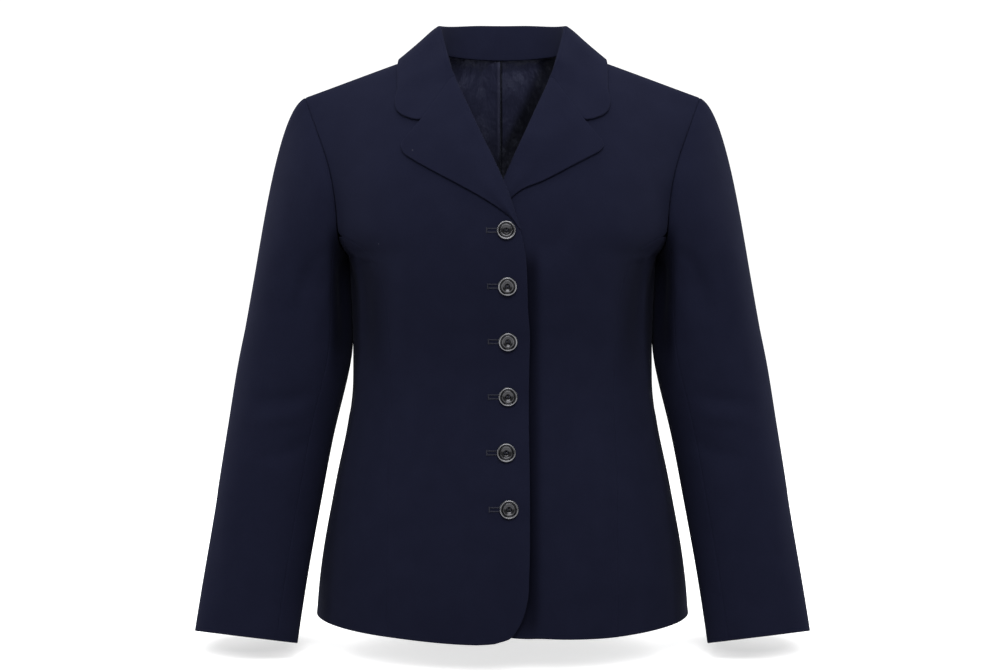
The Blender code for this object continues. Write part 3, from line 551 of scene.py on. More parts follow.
EDGE_ALONG, EDGE_ACROSS = on_front(FRONT_EDGE)
ROLL_ALONG, ROLL_ACROSS = on_front([(x + TURN_RADIUS, z) for x, z in ROLL_LINE])
NECK_ALONG, NECK_ACROSS = on_front(FRONT_NECK)
SHOULDER_NECK = across_at([ALONG_SHOULDER], [NECK_SIDE])[0]
FREE_ALONG = np.concatenate([EDGE_ALONG, ROLL_ALONG, NECK_ALONG, [ALONG_SHOULDER]])
FREE_ACROSS = np.concatenate([EDGE_ACROSS, ROLL_ACROSS, NECK_ACROSS, [SHOULDER_NECK]])
PRINCESS_ALONG, PRINCESS_ACROSS = on_front(PRINCESS)
PRINCESS_TOP = PRINCESS_ALONG[-1]


def free_edge(along):
    """Where the front's free edge crosses each row."""
    return smooth(FREE_ALONG, FREE_ACROSS, along)


def princess(along):
    """Where the princess seam crosses each row."""
    return smooth(PRINCESS_ALONG, PRINCESS_ACROSS, along)


# Creases of the fronts: places along and across, then width and height (below 0 a trough).
FRONT_CREASES = [
    ([(392, 0.74), (365, 0.72), (335, 0.72), (300, 0.73), (255, 0.78)], 29, -8.0),
    ([(395, 0.99), (372, 0.90), (345, 0.86), (300, 0.86)], 13, -2.6),
    ([(402, 0.93), (385, 0.83), (360, 0.78)], 10, 1.6),
    ([(300, 0.97), (262, 0.93), (215, 0.95)], 14, -1.8),
    ([(255, 0.80), (235, 0.90), (228, 0.99)], 9, -1.1),
    ([(272, 0.78), (258, 0.90), (250, 0.99)], 9, 1.0),
    ([(120, 0.86), (70, 0.88), (8, 0.92)], 18, 1.8),
    ([(150, 0.60), (80, 0.58), (5, 0.57)], 24, 1.6),
]
BACK_CREASES = [
    ([(760, 0.93), (790, 0.84), (830, 0.80), (870, 0.82)], 14, -2.8),
    ([(748, 0.97), (800, 0.93), (850, 0.91)], 10, 2.0),
    ([(905, 0.30), (925, 0.55), (948, 0.90)], 12, -1.8),
    ([(930, 0.20), (950, 0.50), (968, 0.85)], 11, 1.6),
    ([(1010, 0.34), (1090, 0.38), (1180, 0.42)], 26, 2.6),
    ([(1020, 0.66), (1100, 0.70), (1185, 0.72)], 24, -2.4),
    ([(640, 0.30), (655, 0.55), (690, 0.80)], 16, -1.6),
]


def creases_of(surface, table):
    """A table of creases as lines on a surface."""
    return [(curved_line(surface, places), width, height) for places, width, height in table]


def panel(along, first, last, side, creases, turn_in):
    """A body panel's two faces, and which cells of the inner one are lining: those where
    `turn_in` gives 1."""
    across = columns_over(body, along, first, last)
    along = np.broadcast_to(along[:, None], across.shape)
    normals = outward(along, across)
    points = sunk(body(along, across), normals, side)
    outer = creased(points, normals, creases_of(body, creases))
    lined = turn_in(along, points)
    stand = WALL + LINING_EASE * ease(lined, 0.2, 0.8)
    return outer, outer - normals * stand[..., None], cell_means(lined) > 0.5


def add_panel(name, grids, side, finishes, **borders):
    """A body panel's wall, with its borders."""
    outer, inner = bordered(*grids[:2], **borders)
    add_wall(f"{name}_cloth", outer, inner, finishes, grids[2], side, [name])


def hem_distance(along):
    """How far along the body the nearer hem is."""
    return np.minimum(along, ALONG_END - along)


def front_turn_in(along, points):
    """1 where the front is lined: past its facing and its hem's turning."""
    edge = free_edge(along)
    width = np.abs(points[..., 0] - body(along, edge)[..., 0])
    return (width > FACING) * (hem_distance(along) > HEM_TURN) * 1.0


def side_turn_in(along, points):
    """1 past the hem's turning."""
    return (hem_distance(along) > HEM_TURN) * 1.0


def make_front(word, side, finishes):
    """A front, from its free edge to the princess seam and the armhole."""
    along = spaced(ALONG_SHOULDER, STEP)
    along = np.unique(np.concatenate([along, np.linspace(2.5, 34, 21)]))
    last = np.where(along < PRINCESS_TOP, princess(along), 1.0)
    *faces, lined = panel(along, free_edge(along), last, side, FRONT_CREASES, front_turn_in)
    grids = [hung(face, side) for face in faces] + [lined]
    borders = {"edges": "tl", "seams": "br", "dip_depth": SOFT_DIP}
    add_panel(f"front_{word}", grids, side, finishes, **borders)


def make_side_front(word, side, finishes):
    """A side front, from the princess seam to the side seam."""
    along = spaced(PRINCESS_TOP - 3, STEP)
    first = princess(along) + SEAM_GAP / 100
    last = np.ones(len(along)) - SEAM_GAP / 100
    grids = panel(along, first, last, side, FRONT_CREASES, side_turn_in)
    borders = {"edges": "t", "seams": "blr", "dip_depth": SOFT_DIP}
    add_panel(f"side_front_{word}", grids, side, finishes, **borders)


def back_neck_end():
    """How far along the middle of the back the neck seam lies: where its height is 0."""
    fine = np.linspace(ALONG[SHOULDER], ALONG[UNDERARM_BACK], 400)
    return np.interp(0, -smooth(ALONG, ROWS[:, 1], fine), fine)


NECK_BACK = back_neck_end()


def back_neck(turn):
    """(along, x) of the back's neck seam, a quarter of an ellipse from the shoulder's high
    point, at 0 degrees, to the centre back, at 90."""
    turn = np.radians(turn)
    along = ALONG_SHOULDER + (NECK_BACK - ALONG_SHOULDER) * np.sin(turn)
    return along, NECK_SIDE * np.cos(turn)


def make_back(word, side, finishes):
    """A back, from the centre back to the side seam and the armhole."""
    top_along, top_x = back_neck(np.linspace(0, 90, 34))
    below = NECK_BACK + spaced(ALONG_END - NECK_BACK, STEP)[1:]
    along = np.concatenate([top_along, below])
    first = across_at(along, np.concatenate([top_x, np.zeros(len(below))]))
    grids = panel(along, first, np.ones(len(along)), -1, BACK_CREASES, side_turn_in)
    add_panel(f"back_{word}", grids, side, finishes, edges="b", seams="tlr")


# ---- the sleeves ----


def armhole(angle):
    """The armhole seam's point at an angle round it, and the way and strength with which the
    sleeve leaves it."""
    angle = (angle + 180) % 360 - 180
    crown = np.array(CROWN, float)[::-1]
    along = smooth(crown[:, 0], ALONG[UNDERARM_FRONT : UNDERARM_BACK + 1][::-1], angle)
    found = evened(crown[:, 0], crown[:, 1:], angle, CROWN_EVENING)
    return body(along, 1.0), unit(found[..., 0:3]), found[..., 3:4]


def sleeve_ring(length, angle):
    """A point of the sleeve below the biceps: an ellipse across the arm at each ring."""
    knots = np.arange(len(SLEEVE_RINGS), dtype=float)
    ring = evened(knots, np.array(SLEEVE_RINGS, float), length, RING_EVENING)
    zero = np.zeros_like(ring[..., 0])
    outer = np.stack([ring[..., 0], ring[..., 4], ring[..., 1]], -1)
    inner = np.stack([ring[..., 2], ring[..., 4], ring[..., 3]], -1)
    pitch = np.radians(ring[..., 6])
    back = np.stack([zero, np.cos(pitch), -np.sin(pitch)], -1)
    turn = np.radians(angle)[..., None]
    middle, half = (outer + inner) / 2, (outer - inner) / 2
    reach = np.cos(turn)
    reach = np.where(reach < 0, -(np.abs(reach) ** INNER_FLATNESS), reach)
    return middle + half * reach - back * np.sin(turn) * ring[..., 5:6] / 2


def sleeve(length, angle):
    """A point of the sleeve: from the armhole, at -1, it curves to the first ring, at 0, and
    goes on through the rings."""
    length, angle = np.broadcast_arrays(np.asarray(length, float), np.asarray(angle, float))
    seam, way, pull = armhole(angle)
    step = 0.02
    zero = np.zeros_like(length)
    ring = sleeve_ring(zero, angle)
    fall = (sleeve_ring(zero + step, angle) - ring) / step
    fall = unit(fall) * np.linalg.norm(ring - seam, axis=-1, keepdims=True) * CROWN_FALL
    start = seam + way * SEAM_GAP
    t = np.clip(length + 1, 0, 1)[..., None]
    crown = start * (1 + 2 * t) * (1 - t) ** 2 + way * pull * t * (1 - t) ** 2
    crown = crown + ring * t * t * (3 - 2 * t) - fall * t * t * (1 - t)
    rings = sleeve_ring(np.clip(length, 0, None), angle)
    return np.where((length < 0)[..., None], crown, rings)


def sleeve_normal(length, angle):
    """The sleeve's unit normals, pointing out."""
    step = 0.01
    last = len(SLEEVE_RINGS) - 1
    a = np.clip(length, -1 + step, last - step)
    down = sleeve(a + step, angle) - sleeve(a - step, angle)
    round_it = sleeve(a, angle + 1) - sleeve(a, angle - 1)
    return unit(np.cross(round_it, down))


# Creases of the sleeves: places down (in rings) and round (in degrees), width and height.
SLEEVE_CREASES = [
    ([(-1.0, 180), (-0.6, 180), (-0.2, 180)], 12, 3.0),
    ([(-0.80, 150), (-0.35, 152), (0.4, 152), (1.5, 148)], 14, -7.0),
    ([(-0.72, 118), (-0.35, 100), (0.1, 92), (0.8, 88)], 9, -2.2),
    ([(-0.60, 140), (-0.2, 122), (0.4, 112), (1.2, 104)], 9, 1.8),
    ([(-0.75, -116), (-0.35, -98), (0.1, -84), (0.9, -74)], 10, -2.6),
    ([(2.3, 120), (2.6, 90), (2.75, 55)], 8, -1.7),
    ([(2.7, 118), (2.95, 92), (3.1, 60)], 8, 1.5),
    ([(2.9, -70), (3.2, -100), (3.6, -122)], 9, -1.8),
    ([(3.2, 130), (3.5, 105), (3.75, 70)], 9, -1.5),
    ([(4.2, 20), (5.4, 34), (6.7, 40)], 14, -1.3),
    ([(1.2, 20), (2.6, 12), (4.4, 4)], 16, 1.2),
]


def make_sleeve(word, name, side, first, last, finishes):
    """A sleeve's part between two angles, from the armhole to the cuff."""
    middle = (first + last) / 2
    length = rows_down(sleeve, -1.0, len(SLEEVE_RINGS) - 1.0, middle)
    ends = np.full(len(length), 1.0)
    angle = columns_over(sleeve, length, ends * first, ends * last)
    down = np.broadcast_to(length[:, None], angle.shape)
    normals = sleeve_normal(down, angle)
    outer = creased(sleeve(down, angle), normals, creases_of(sleeve, SLEEVE_CREASES))
    left = arc(outer.swapaxes(0, 1)).T
    lined = (left[-1] - left > CUFF_TURN) * 1.0
    stand = WALL + LINING_EASE * ease(lined, 0.2, 0.8)
    inner = outer - normals * stand[..., None]
    outer, inner = bordered(outer, inner, edges="b", seams="t", dip_depth=ARMHOLE_DIP)
    outer, inner = bordered(outer, inner, seams="lr", dip_depth=SOFT_DIP)
    node = f"{name}_{word}"
    add_wall(f"{node}_cloth", outer, inner, finishes, cell_means(lined) > 0.5, side, [node])


# ---- the lapels ----

LAPEL_END = 0.985  # of the way down the roll line, where the lapel runs out into the front edge
LAPEL_INSIDE = 26.0  # how far the facing goes on inside the roll line
CLOSING = (0.84, 1.0)  # of the way down, where the lapel comes to lie flat on the front
CLOSED = 0.62  # and how much of its height it loses there
ROLL_TURNS = (-90, 72)  # the roll's start and end, in degrees up from the front's plane
FACING_WALL = 0.8  # of the wall
FACING_COUNT = 8  # columns on the facing, and on the roll
ROLL_COUNT = 19
LAPEL_COUNT = 74  # and rows down it


def lapel_place(share, width, side=-1):
    """Where the lapel lies: `share` of the way down the roll line from the gorge, and `width` of
    the way from there to its outer edge."""
    table = np.array(LAPEL_EDGE if side < 0 else LOWER_LAPEL_EDGE)
    down_along = np.concatenate([ROLL_ALONG[::-1], EDGE_ALONG[-1:]])
    down_across = np.concatenate([ROLL_ACROSS[::-1], EDGE_ACROSS[-1:]])
    gone = (down_along[0] - down_along) / (down_along[0] - down_along[-1])
    met = table[:, 2]
    edge_along, edge_across = on_front(table[:, :2])
    along, across = (
        smooth(gone, down, share) * (1 - width) + smooth(met, edge, share) * width
        for down, edge in ((down_along, edge_along), (down_across, edge_across))
    )
    return along - GORGE_BOW * np.sin(np.pi * width) * ease(share, 0.3, 0), across


def lapel_faces(share, side):
    """The lapel's two faces: from inside the front the facing goes round the roll edge, and lies
    on the front's face with a soft swell beside the roll. Also how far each column is from the
    roll line, as a share of the width, below 0 where it isn't on the front yet."""

    def place_of(row, width):
        return body(*lapel_place(row, width, side))

    ends = np.ones(len(share))
    width = columns_over(place_of, share, 0 * ends, ends, near_first=False)
    along, across = lapel_place(share[:, None], width, side)
    normals = outward(along, across)
    base = sunk(body(along, across), normals, side)
    closing = 1 - CLOSED * ease(share, *CLOSING)[:, None]
    swell = np.sin(np.pi * width) ** 2 * (1 - width) * ease(share, 0, 0.3)[:, None]
    height = (WALL + LAPEL_LIFT + LAPEL_PUFF * swell) * closing
    top = base + normals * height[..., None]
    under = top - normals * (WALL * (0.5 + 0.5 * closing))[..., None]
    aside = unit(np.cross(np.gradient(base[:, 0], axis=0), normals[:, 0]))
    middle = base[:, 0] - normals[:, 0] * WALL / 2
    turns = np.radians(np.linspace(*ROLL_TURNS, ROLL_COUNT))
    cosines, sines = np.cos(turns)[None, :, None], np.sin(turns)[None, :, None]
    spoke = aside[:, None] * cosines + normals[:, :1] * sines
    radius = TURN_RADIUS - 2.0 * ease(share, 0.8, 1.0)[:, None, None]
    roll = middle[:, None] + spoke * radius
    roll_under = middle[:, None] + spoke * (radius - WALL * FACING_WALL)
    inwards = np.linspace(LAPEL_INSIDE, 1.5, FACING_COUNT)[None, :, None]
    depth = radius * ease(inwards, LAPEL_INSIDE + 8, 0) + 0.9
    facing = middle[:, None] - aside[:, None] * inwards - normals[:, :1] * depth
    facing_under = facing + normals[:, :1] * WALL * FACING_WALL
    outer = np.concatenate([facing, roll, top[:, 1:]], axis=1)
    inner = np.concatenate([facing_under, roll_under, under[:, 1:]], axis=1)
    count = FACING_COUNT + ROLL_COUNT
    before = np.broadcast_to(np.linspace(-1, 0, count), (len(share), count))
    return outer, inner, np.concatenate([before, width[:, 1:]], axis=1)


def make_lapel(word, side, finishes):
    """A lapel with its facing, free below the notch and sewn to the collar above it."""
    near = NEAR[1:] / ROLL_LENGTH
    between = np.linspace(0.02, LAPEL_END - 0.02, LAPEL_COUNT)
    share = np.concatenate([[0], near, between, LAPEL_END - near[::-1]])
    outer, inner, width = lapel_faces(np.append(share, LAPEL_END), side)
    free = ease(width[0], NOTCH - 0.04, NOTCH + 0.03)
    outer, inner = bordered(outer, inner, edges="tlbr", seams="t", free=free, dip_depth=SOFT_DIP)
    name = f"lapel_{word}"
    add_wall(f"{name}_cloth", outer, inner, finishes, None, side, [name])


# ---- the collar ----


def neck_seam(stations):
    """The neck seam's points: the back's quarter ellipse up to the shoulder, then down the front
    to the gorge."""
    back = BACK_SECTIONS - 1
    turn = 90 * (1 - np.clip(stations / back, 0, 1))
    back_along, back_x = back_neck(turn)
    share = smooth(np.arange(back, back + 6), [0] + FRONT_SECTION_SHARES, stations.clip(back))
    front_along = ALONG_SHOULDER + (ROLL_ALONG[-1] - ALONG_SHOULDER) * share
    along = np.where(stations <= back, back_along, front_along)
    across = np.where(stations <= back, across_at(back_along, back_x), free_edge(front_along))
    return body(along, across)


def body_heights(points):
    """Each point's height over the nearest place of the body, and the normal there."""
    along = np.linspace(ALONG[UNDERARM_FRONT + 3], ALONG[UNDERARM_BACK - 3], 220)[:, None]
    across = np.linspace(-0.9, 0.9, 131)[None, :]
    surface = body(along, across).reshape(-1, 3)
    normals = outward(along, across).reshape(-1, 3)
    square = (surface**2).sum(1)
    groups = np.array_split(points, max(1, len(points) // 400))
    nearest = np.concatenate([(square - 2 * group @ surface.T).argmin(1) for group in groups])
    normals = normals[nearest]
    return ((points - surface[nearest]) * normals).sum(1), normals


def lifted(points, least, exact=False):
    """The points moved along the body's normals to lie at a height over it, or only where they
    are lower."""
    flat = points.reshape(-1, 3)
    heights, normals = body_heights(flat)
    lift = least - heights
    if not exact:
        lift = np.where(heights > -25, lift.clip(0), 0)
    return (flat + normals * lift[:, None]).reshape(points.shape)


def collar_half(stations, side):
    """One half of the collar: the stand rises from the neck seam, folds over and falls straight
    to the outer edge. Towards its end each section turns into the lapel's first one, up to the
    notch, and then runs out to the collar's point. Also the stand's and the fold's hidden face,
    and each row's place on the way to the notch, at 1."""
    knots = np.arange(len(COLLAR_SECTIONS))
    table = evened(knots, np.array(COLLAR_SECTIONS, float), stations, SECTION_EVENING)
    seam = neck_seam(stations)
    fold, edge = table[:, 0:3], lifted(table[:, 3:6], WALL + COLLAR_LIFT, exact=True)
    up = unit(fold - seam)
    aside = unit(np.cross(np.gradient(seam, axis=0), up))
    aside[0] = (0, aside[0, 1], aside[0, 2])
    foot = seam + aside * FOOT_INSET - up * FOOT_DROP
    leaning = np.arccos(np.clip((-up * unit(edge - fold)).sum(1), -1, 1))
    last_turn = (np.pi - leaning * FALL_LEAN)[:, None]
    turns = last_turn * np.linspace(0, 1, BEND_COUNT)[:, None, None]
    centre, spoke = fold - up * FOLD_RADIUS, aside * np.cos(turns) + up * np.sin(turns)
    bend = centre + spoke * FOLD_RADIUS
    bend_back = centre + spoke * (FOLD_RADIUS - WALL)
    fall_start = bend[-1]
    fall_length = np.linalg.norm(edge - fall_start, axis=1, keepdims=True)
    leaving = up * np.cos(last_turn) - aside * np.sin(last_turn)
    near = fall_start + leaving * fall_length * FALL_DROP
    far = edge + (fall_start - edge) * FALL_REACH
    before_edge = np.linspace(0, 0.955, FALL_COUNT)[1:]
    places = np.concatenate([before_edge, 1 - NEAR[::-1] / FALL_LENGTH])
    fall = bezier(fall_start, near, far, edge, places[:, None, None])
    fall = lifted(fall, WALL + COLLAR_LIFT)
    rise = np.concatenate([NEAR / STAND_LENGTH, [0.25, 0.45, 0.65, 0.85]])[:, None, None]
    stand = foot + (bend[0] - foot) * rise
    half = np.concatenate([stand, bend, fall])
    back = np.concatenate([stand - aside * WALL, bend_back])
    end, place = lapel_section(len(rise), len(turns), places, side)
    reach = ease(stations, *JOINING)[None, :, None]
    half = half + (end[:, None] - half[:, -1:]) * reach
    return half.swapaxes(0, 1), back.swapaxes(0, 1), place


def lapel_section(stand_count, bend_count, places, side):
    """The lapel's first row, in as many places as the collar's sections: the facing for the
    stand, the roll for the fold, and the lapel's face up to the notch for the fall, then out to
    the collar's point."""
    outer, _, width = lapel_faces(np.array([0.0, 0.01, 0.02]), side)
    section, width = outer[0], width[0]
    face_start = FACING_COUNT + ROLL_COUNT
    near_roll = section[FACING_COUNT - 4 : FACING_COUNT + 1]
    stand = along_line(near_roll, np.linspace(0, 1, stand_count))
    bend = along_line(section[FACING_COUNT:face_start], np.linspace(0, 1, bend_count))
    face = section[face_start - 1 :][width[face_start - 1 :] < NOTCH]
    notch = np.array(lapel_place(0.0, NOTCH, side))[:, None]
    along, across = np.concatenate([notch, on_front(COLLAR_END)], axis=1)
    end = body(along, across) + outward(along, across) * (WALL + COLLAR_LIFT)
    line = np.concatenate([face, end])
    gone = arc(line)
    fall = along_line(line, places)
    place = np.zeros(stand_count + bend_count)
    place = np.concatenate([place, places * gone[-1] / gone[len(face)]])
    return np.concatenate([stand, bend, fall]), place


def along_line(line, shares):
    """Places on a line of points, as shares of its length."""
    gone = arc(line) / arc(line)[-1]
    return np.stack([np.interp(shares, gone, column) for column in line.T], 1)


def make_collar(finishes):
    """Both halves as one wall, which is mirrored but for its ends, as the lapels differ."""
    near_end = LAST_STATION - NEAR[::-1] / SECTION_LENGTH
    before = np.linspace(0, near_end[0], STATION_COUNT)[:-1]
    stations = np.concatenate([before, near_end])
    right, right_back, place = collar_half(stations, -1)
    left, left_back, _ = collar_half(stations, 1)
    mirror = (-1, 1, 1)
    shown = np.concatenate([right[:0:-1] * mirror, left])
    back = np.concatenate([right_back[:0:-1] * mirror, left_back])
    faces = unit(np.cross(np.gradient(shown, axis=0), np.gradient(shown, axis=1)))
    hidden = shown - faces * WALL
    kept = ease(np.concatenate([stations[:0:-1], stations]), *PARTING)[:, None, None]
    count = back.shape[1]
    hidden[:, :count] = hidden[:, :count] * (1 - kept) + back * kept
    free = ease(place, 0.97, 1.06)
    shown, hidden = bordered(
        shown, hidden, edges="tbr", seams="tbl", free=free, dip_depth=SOFT_DIP
    )
    add_wall("collar_cloth", shown, hidden, finishes, None, 1, ["collar"])


# ---- the back lining ----

LINING_GAP = 3.2
LINING_TOP_GAP = -0.6  # its top edge is caught in the neck seam
LINING_INSET = 1.0  # from the neck seam
LINING_HEM = 25.0  # above the hem
LINING_SIDE = 0.8  # of the way to the side seam
LINING_FALL = 45  # how far below its top edge it comes to its full gap
LINING_COLUMNS = 36
LINING_ROWS = 190
# The pleat down its middle: x, and how far it stands forward there.
PLEAT = [
    (-26, 0), (-14, 0.5), (-6.4, 2.4), (-4.4, 3.6), (-3.2, 3.7),
    (-2.5, 2.9), (-2.0, 0.4), (-1.2, -0.6), (6, -0.5), (20, 0),
]
PLEAT_ALONG = 800.0  # where the columns' places in x are taken
PLEAT_COLUMNS = [-30, -21, -14, -9, -6.4, -5, -4, -3.2, -2.8, -2.4, -2.1, -1.8, -1.2]
PLEAT_COLUMNS += [0, 2, 6, 11, 18, 28]
# Creases of the lining: places along and across, width and height.
LINING_CREASES = [
    ([(672, -0.34), (700, -0.27), (738, -0.22)], 7, 1.6),
    ([(668, 0.30), (700, 0.22), (742, 0.16)], 7, 1.4),
    ([(675, 0.14), (705, 0.12), (760, 0.10)], 6, -1.2),
    ([(680, -0.12), (712, -0.11), (770, -0.10)], 6, -1.2),
    ([(690, -0.50), (725, -0.42), (770, -0.36)], 9, -1.8),
    ([(690, 0.50), (725, 0.42), (775, 0.36)], 9, -1.8),
    ([(860, -0.60), (930, -0.50), (1000, -0.52)], 14, 2.2),
    ([(870, 0.55), (940, 0.45), (1040, 0.48)], 14, 2.0),
    ([(900, 0.20), (960, 0.25), (1060, 0.22)], 12, -1.6),
]


def make_back_lining(finishes):
    """The lining inside the backs, from the neck and shoulders to above the hem."""
    middle = across_at(np.full(len(PLEAT_COLUMNS), PLEAT_ALONG), PLEAT_COLUMNS)
    half = np.linspace(middle[-1], LINING_SIDE, LINING_COLUMNS)[1:]
    across = np.concatenate([-half[::-1], middle, half])
    top = np.full(len(across), ALONG_SHOULDER + LINING_INSET)
    for _ in range(4):
        x = abs(body(top, across)[:, 0]) / NECK_SIDE
        neck = ALONG_SHOULDER + (NECK_BACK - ALONG_SHOULDER) * np.sqrt(np.clip(1 - x**2, 0, 1))
        top = neck + LINING_INSET
    share = np.linspace(0, 1, LINING_ROWS)[:, None]
    along = top + (ALONG_END - LINING_HEM - top) * share
    across = np.broadcast_to(across, along.shape)
    normals = outward(along, across)
    points = body(along, across)
    pleat = smooth(*np.array(PLEAT, float).T, points[..., 0])
    below = arc(points.swapaxes(0, 1)).T
    stand_in = LINING_TOP_GAP + (LINING_GAP - LINING_TOP_GAP) * ease(below, 0, LINING_FALL)
    inset = (WALL + stand_in + LINING_WALL + pleat * ease(below, -4, 10))[..., None]
    shown = points - normals * inset
    shown = creased(shown, -normals, creases_of(body, LINING_CREASES))
    inner = shown + normals * LINING_WALL
    shown, inner = bordered(shown, inner, edges="tblr")
    add_wall("back_lining_cloth", shown, inner, finishes, None, 1, ["back_lining"])


# ---- the buttons and buttonholes ----

# The button's face from its middle out over the rim and round to its back: radius and height.
BUTTON_FACE = [
    (0, 1.35), (2.2, 1.35), (3.0, 1.45), (3.8, 1.78), (4.6, 2.2), (5.2, 2.5),
    (5.7, 2.62), (6.1, 2.5), (6.4, 2.2), (6.7, 2.05), (7.0, 2.2), (7.3, 2.7),
    (7.6, 3.25), (8.0, 3.62), (8.5, 3.75), (9.0, 3.6), (9.35, 3.15), (9.5, 2.5),
    (9.45, 1.7), (9.1, 0.8), (8.4, 0.2), (7.4, 0.02), (0, 0.0),
]
BUTTON_SIDES = 72
HOLE_ASIDE = 1.35  # of the four holes, from the button's middle each way
HOLE_OVERRUN = 1.12  # how far the thread reaches past the holes' middles
BUTTON_SEAT = 0.25  # between a button and the cloth
STRANDS_ASIDE = (-0.26, 0.0, 0.26)
STRAND_RADIUS = 0.2
THREAD_LOW = 1.0  # the thread's middle in the holes, from the button's back, and its arch over it
THREAD_RISE = 0.85


def button_place(number):
    """The middle of a button's back on the upper front, and the ways across, up and out."""
    height = BUTTON_TOP_Z - BUTTON_STEP * number
    along, across = on_front([(-BUTTON_X[number], height)])
    out = outward(along, across)[0] * (-1, 1, 1)
    place = body(along, across)[0] * (-1, 1, 1)
    across_way = unit(np.cross((0, 0, 1.0), out))
    return place + out * BUTTON_SEAT, across_way, np.cross(out, across_way), out


def ring_faces(index):
    """Quads between rings of points, each closed on itself."""
    after = np.roll(index, -1, axis=1)
    return np.stack([index[:-1], after[:-1], after[1:], index[1:]], -1).reshape(-1, 4)


def lathe(profile, sides):
    """A profile of radius and height turned about its axis: rings of points, and one point at
    each end."""
    profile = np.array(profile, float)
    turn = np.linspace(0, 2 * np.pi, sides, endpoint=False)
    ring = profile[1:-1]
    x, y = ring[:, :1] * np.cos(turn), ring[:, :1] * np.sin(turn)
    points = np.stack([x, y, ring[:, 1:] + 0 * turn], -1).reshape(-1, 3)
    index = np.arange(len(points)).reshape(len(ring), sides)
    after = np.roll(index, -1, axis=1)
    ends = np.array([[0, 0, profile[0, 1]], [0, 0, profile[-1, 1]]])
    first = np.stack([np.full(sides, len(points)), after[0], index[0]], 1)
    last = np.stack([np.full(sides, len(points) + 1), index[-1], after[-1]], 1)
    return np.concatenate([points, ends]), ring_faces(index), np.concatenate([first, last])


def tube(path, radius, sides=10):
    """A closed round thread along a path: rings square to it, drawn in at both ends."""
    path = np.asarray(path, float)
    way = unit(np.gradient(path, axis=0))
    level = unit(np.cross(way, (0.31, 0.17, 0.93)))
    other = np.cross(way, level)
    turn = np.linspace(0, 2 * np.pi, sides, endpoint=False)[None, :, None]
    thick = np.full(len(path), float(radius))
    thick[[0, -1]] = radius * 0.35
    ring = level[:, None] * np.cos(turn) + other[:, None] * np.sin(turn)
    points = (path[:, None] + ring * thick[:, None, None]).reshape(-1, 3)
    index = np.arange(len(points)).reshape(len(path), sides)
    caps = []
    for row in (index[0], index[-1][::-1]):
        ladder = [(i, i + 1, sides - 2 - i, sides - 1 - i) for i in range(sides // 2 - 1)]
        caps.append(row[np.array(ladder)])
    return points, np.concatenate([ring_faces(index), *caps])


def set_on(points, place, across, up, out):
    """Points of a button's own axes, set on the front."""
    return place + points[:, :1] * across + points[:, 1:2] * up + points[:, 2:3] * out


def sew(name, strands, place, thread):
    """Strands of thread as one piece, set on the front."""
    points, faces = zip(*strands)
    start = np.cumsum([0] + [len(each) for each in points])
    faces = np.concatenate([each + first for each, first in zip(faces, start)])
    sewn = add_mesh(name, set_on(np.concatenate(points), *place), faces, [thread])
    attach(sewn, "root")


def make_button(number, finish, thread):
    """A turned disc with a raised rim, an inner ring and a dish, sewn on through four holes."""
    place = button_place(number)
    points, quads, triangles = lathe(BUTTON_FACE, BUTTON_SIDES)
    faces = quads.tolist() + triangles[:, ::-1].tolist()
    mesh = smooth_mesh(f"button_{number + 1}_disc", set_on(points, *place), faces, [finish])
    corner = np.empty(len(mesh.loops), np.int32)
    mesh.loops.foreach_get("vertex_index", corner)
    face = mesh.uv_layers.new(name="face")
    face.data.foreach_set("uv", (points[corner, :2] * MM).ravel())
    disc = placed(mesh.name, mesh)
    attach(disc, "root")
    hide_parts(f"button_{number + 1}")
    turn = np.linspace(0, np.pi, 12)
    run = HOLE_ASIDE * -np.cos(turn) * HOLE_OVERRUN
    rise = THREAD_LOW + THREAD_RISE * np.sin(turn) ** 0.7
    strands = []
    for x in (-HOLE_ASIDE, HOLE_ASIDE):
        for aside in STRANDS_ASIDE:
            path = np.stack([np.full(len(turn), x + aside), run, rise], 1)
            strands.append(tube(path, STRAND_RADIUS))
    sew(f"button_{number + 1}_thread", strands, place, thread)


HOLE_START = 3.0  # from the button's middle
HOLE_END = 19.5
HOLE_HALF = 1.9  # from the slit to the middle of a row of stitches
STITCH_PITCH = 0.55
STITCH_REACH = 0.65
STITCH_RADIUS = 0.17
BAR_RADIUS = 0.18
BAR_HALF = 2.9
BAR_TURNS = 8


def make_buttonhole(number, thread):
    """Two rows of close stitches beside the slit, and a bar across its end: each row is one
    thread that zigzags out and in over the cloth."""
    place = button_place(number)
    strands = []
    for way in (-1, 1):
        count = int((HOLE_END - HOLE_START) / STITCH_PITCH)
        at = np.linspace(0, count, count * 8 + 1)
        run = -(HOLE_START + at * STITCH_PITCH)
        swing = np.sin(at * 2 * np.pi)
        out = way * (HOLE_HALF + swing * STITCH_REACH)
        rise = -0.12 + 0.34 * np.cos(at * 2 * np.pi) ** 2
        strands.append(tube(np.stack([run, out, rise], 1), STITCH_RADIUS, 6))
    at = np.linspace(0, BAR_TURNS, BAR_TURNS * 8 + 1)
    up = np.linspace(-BAR_HALF, BAR_HALF, len(at))
    run = -HOLE_END - 0.2 + 0.6 * np.sin(at * 2 * np.pi)
    rise = 0.1 + 0.1 * np.cos(at * 4 * np.pi)
    strands.append(tube(np.stack([run, up, rise], 1), BAR_RADIUS, 6))
    sew(f"buttonhole_{number + 1}", strands, place, thread)


# ---- finishes ----


def operation(name, swapped=False):
    """A method that adds a Math node to a socket, with a second value where it takes one."""

    def method(self, other=0.0):
        first, second = (other, self) if swapped else (self, other)
        return self.finish.node("ShaderNodeMath", {"operation": name}, {0: first, 1: second})

    return method


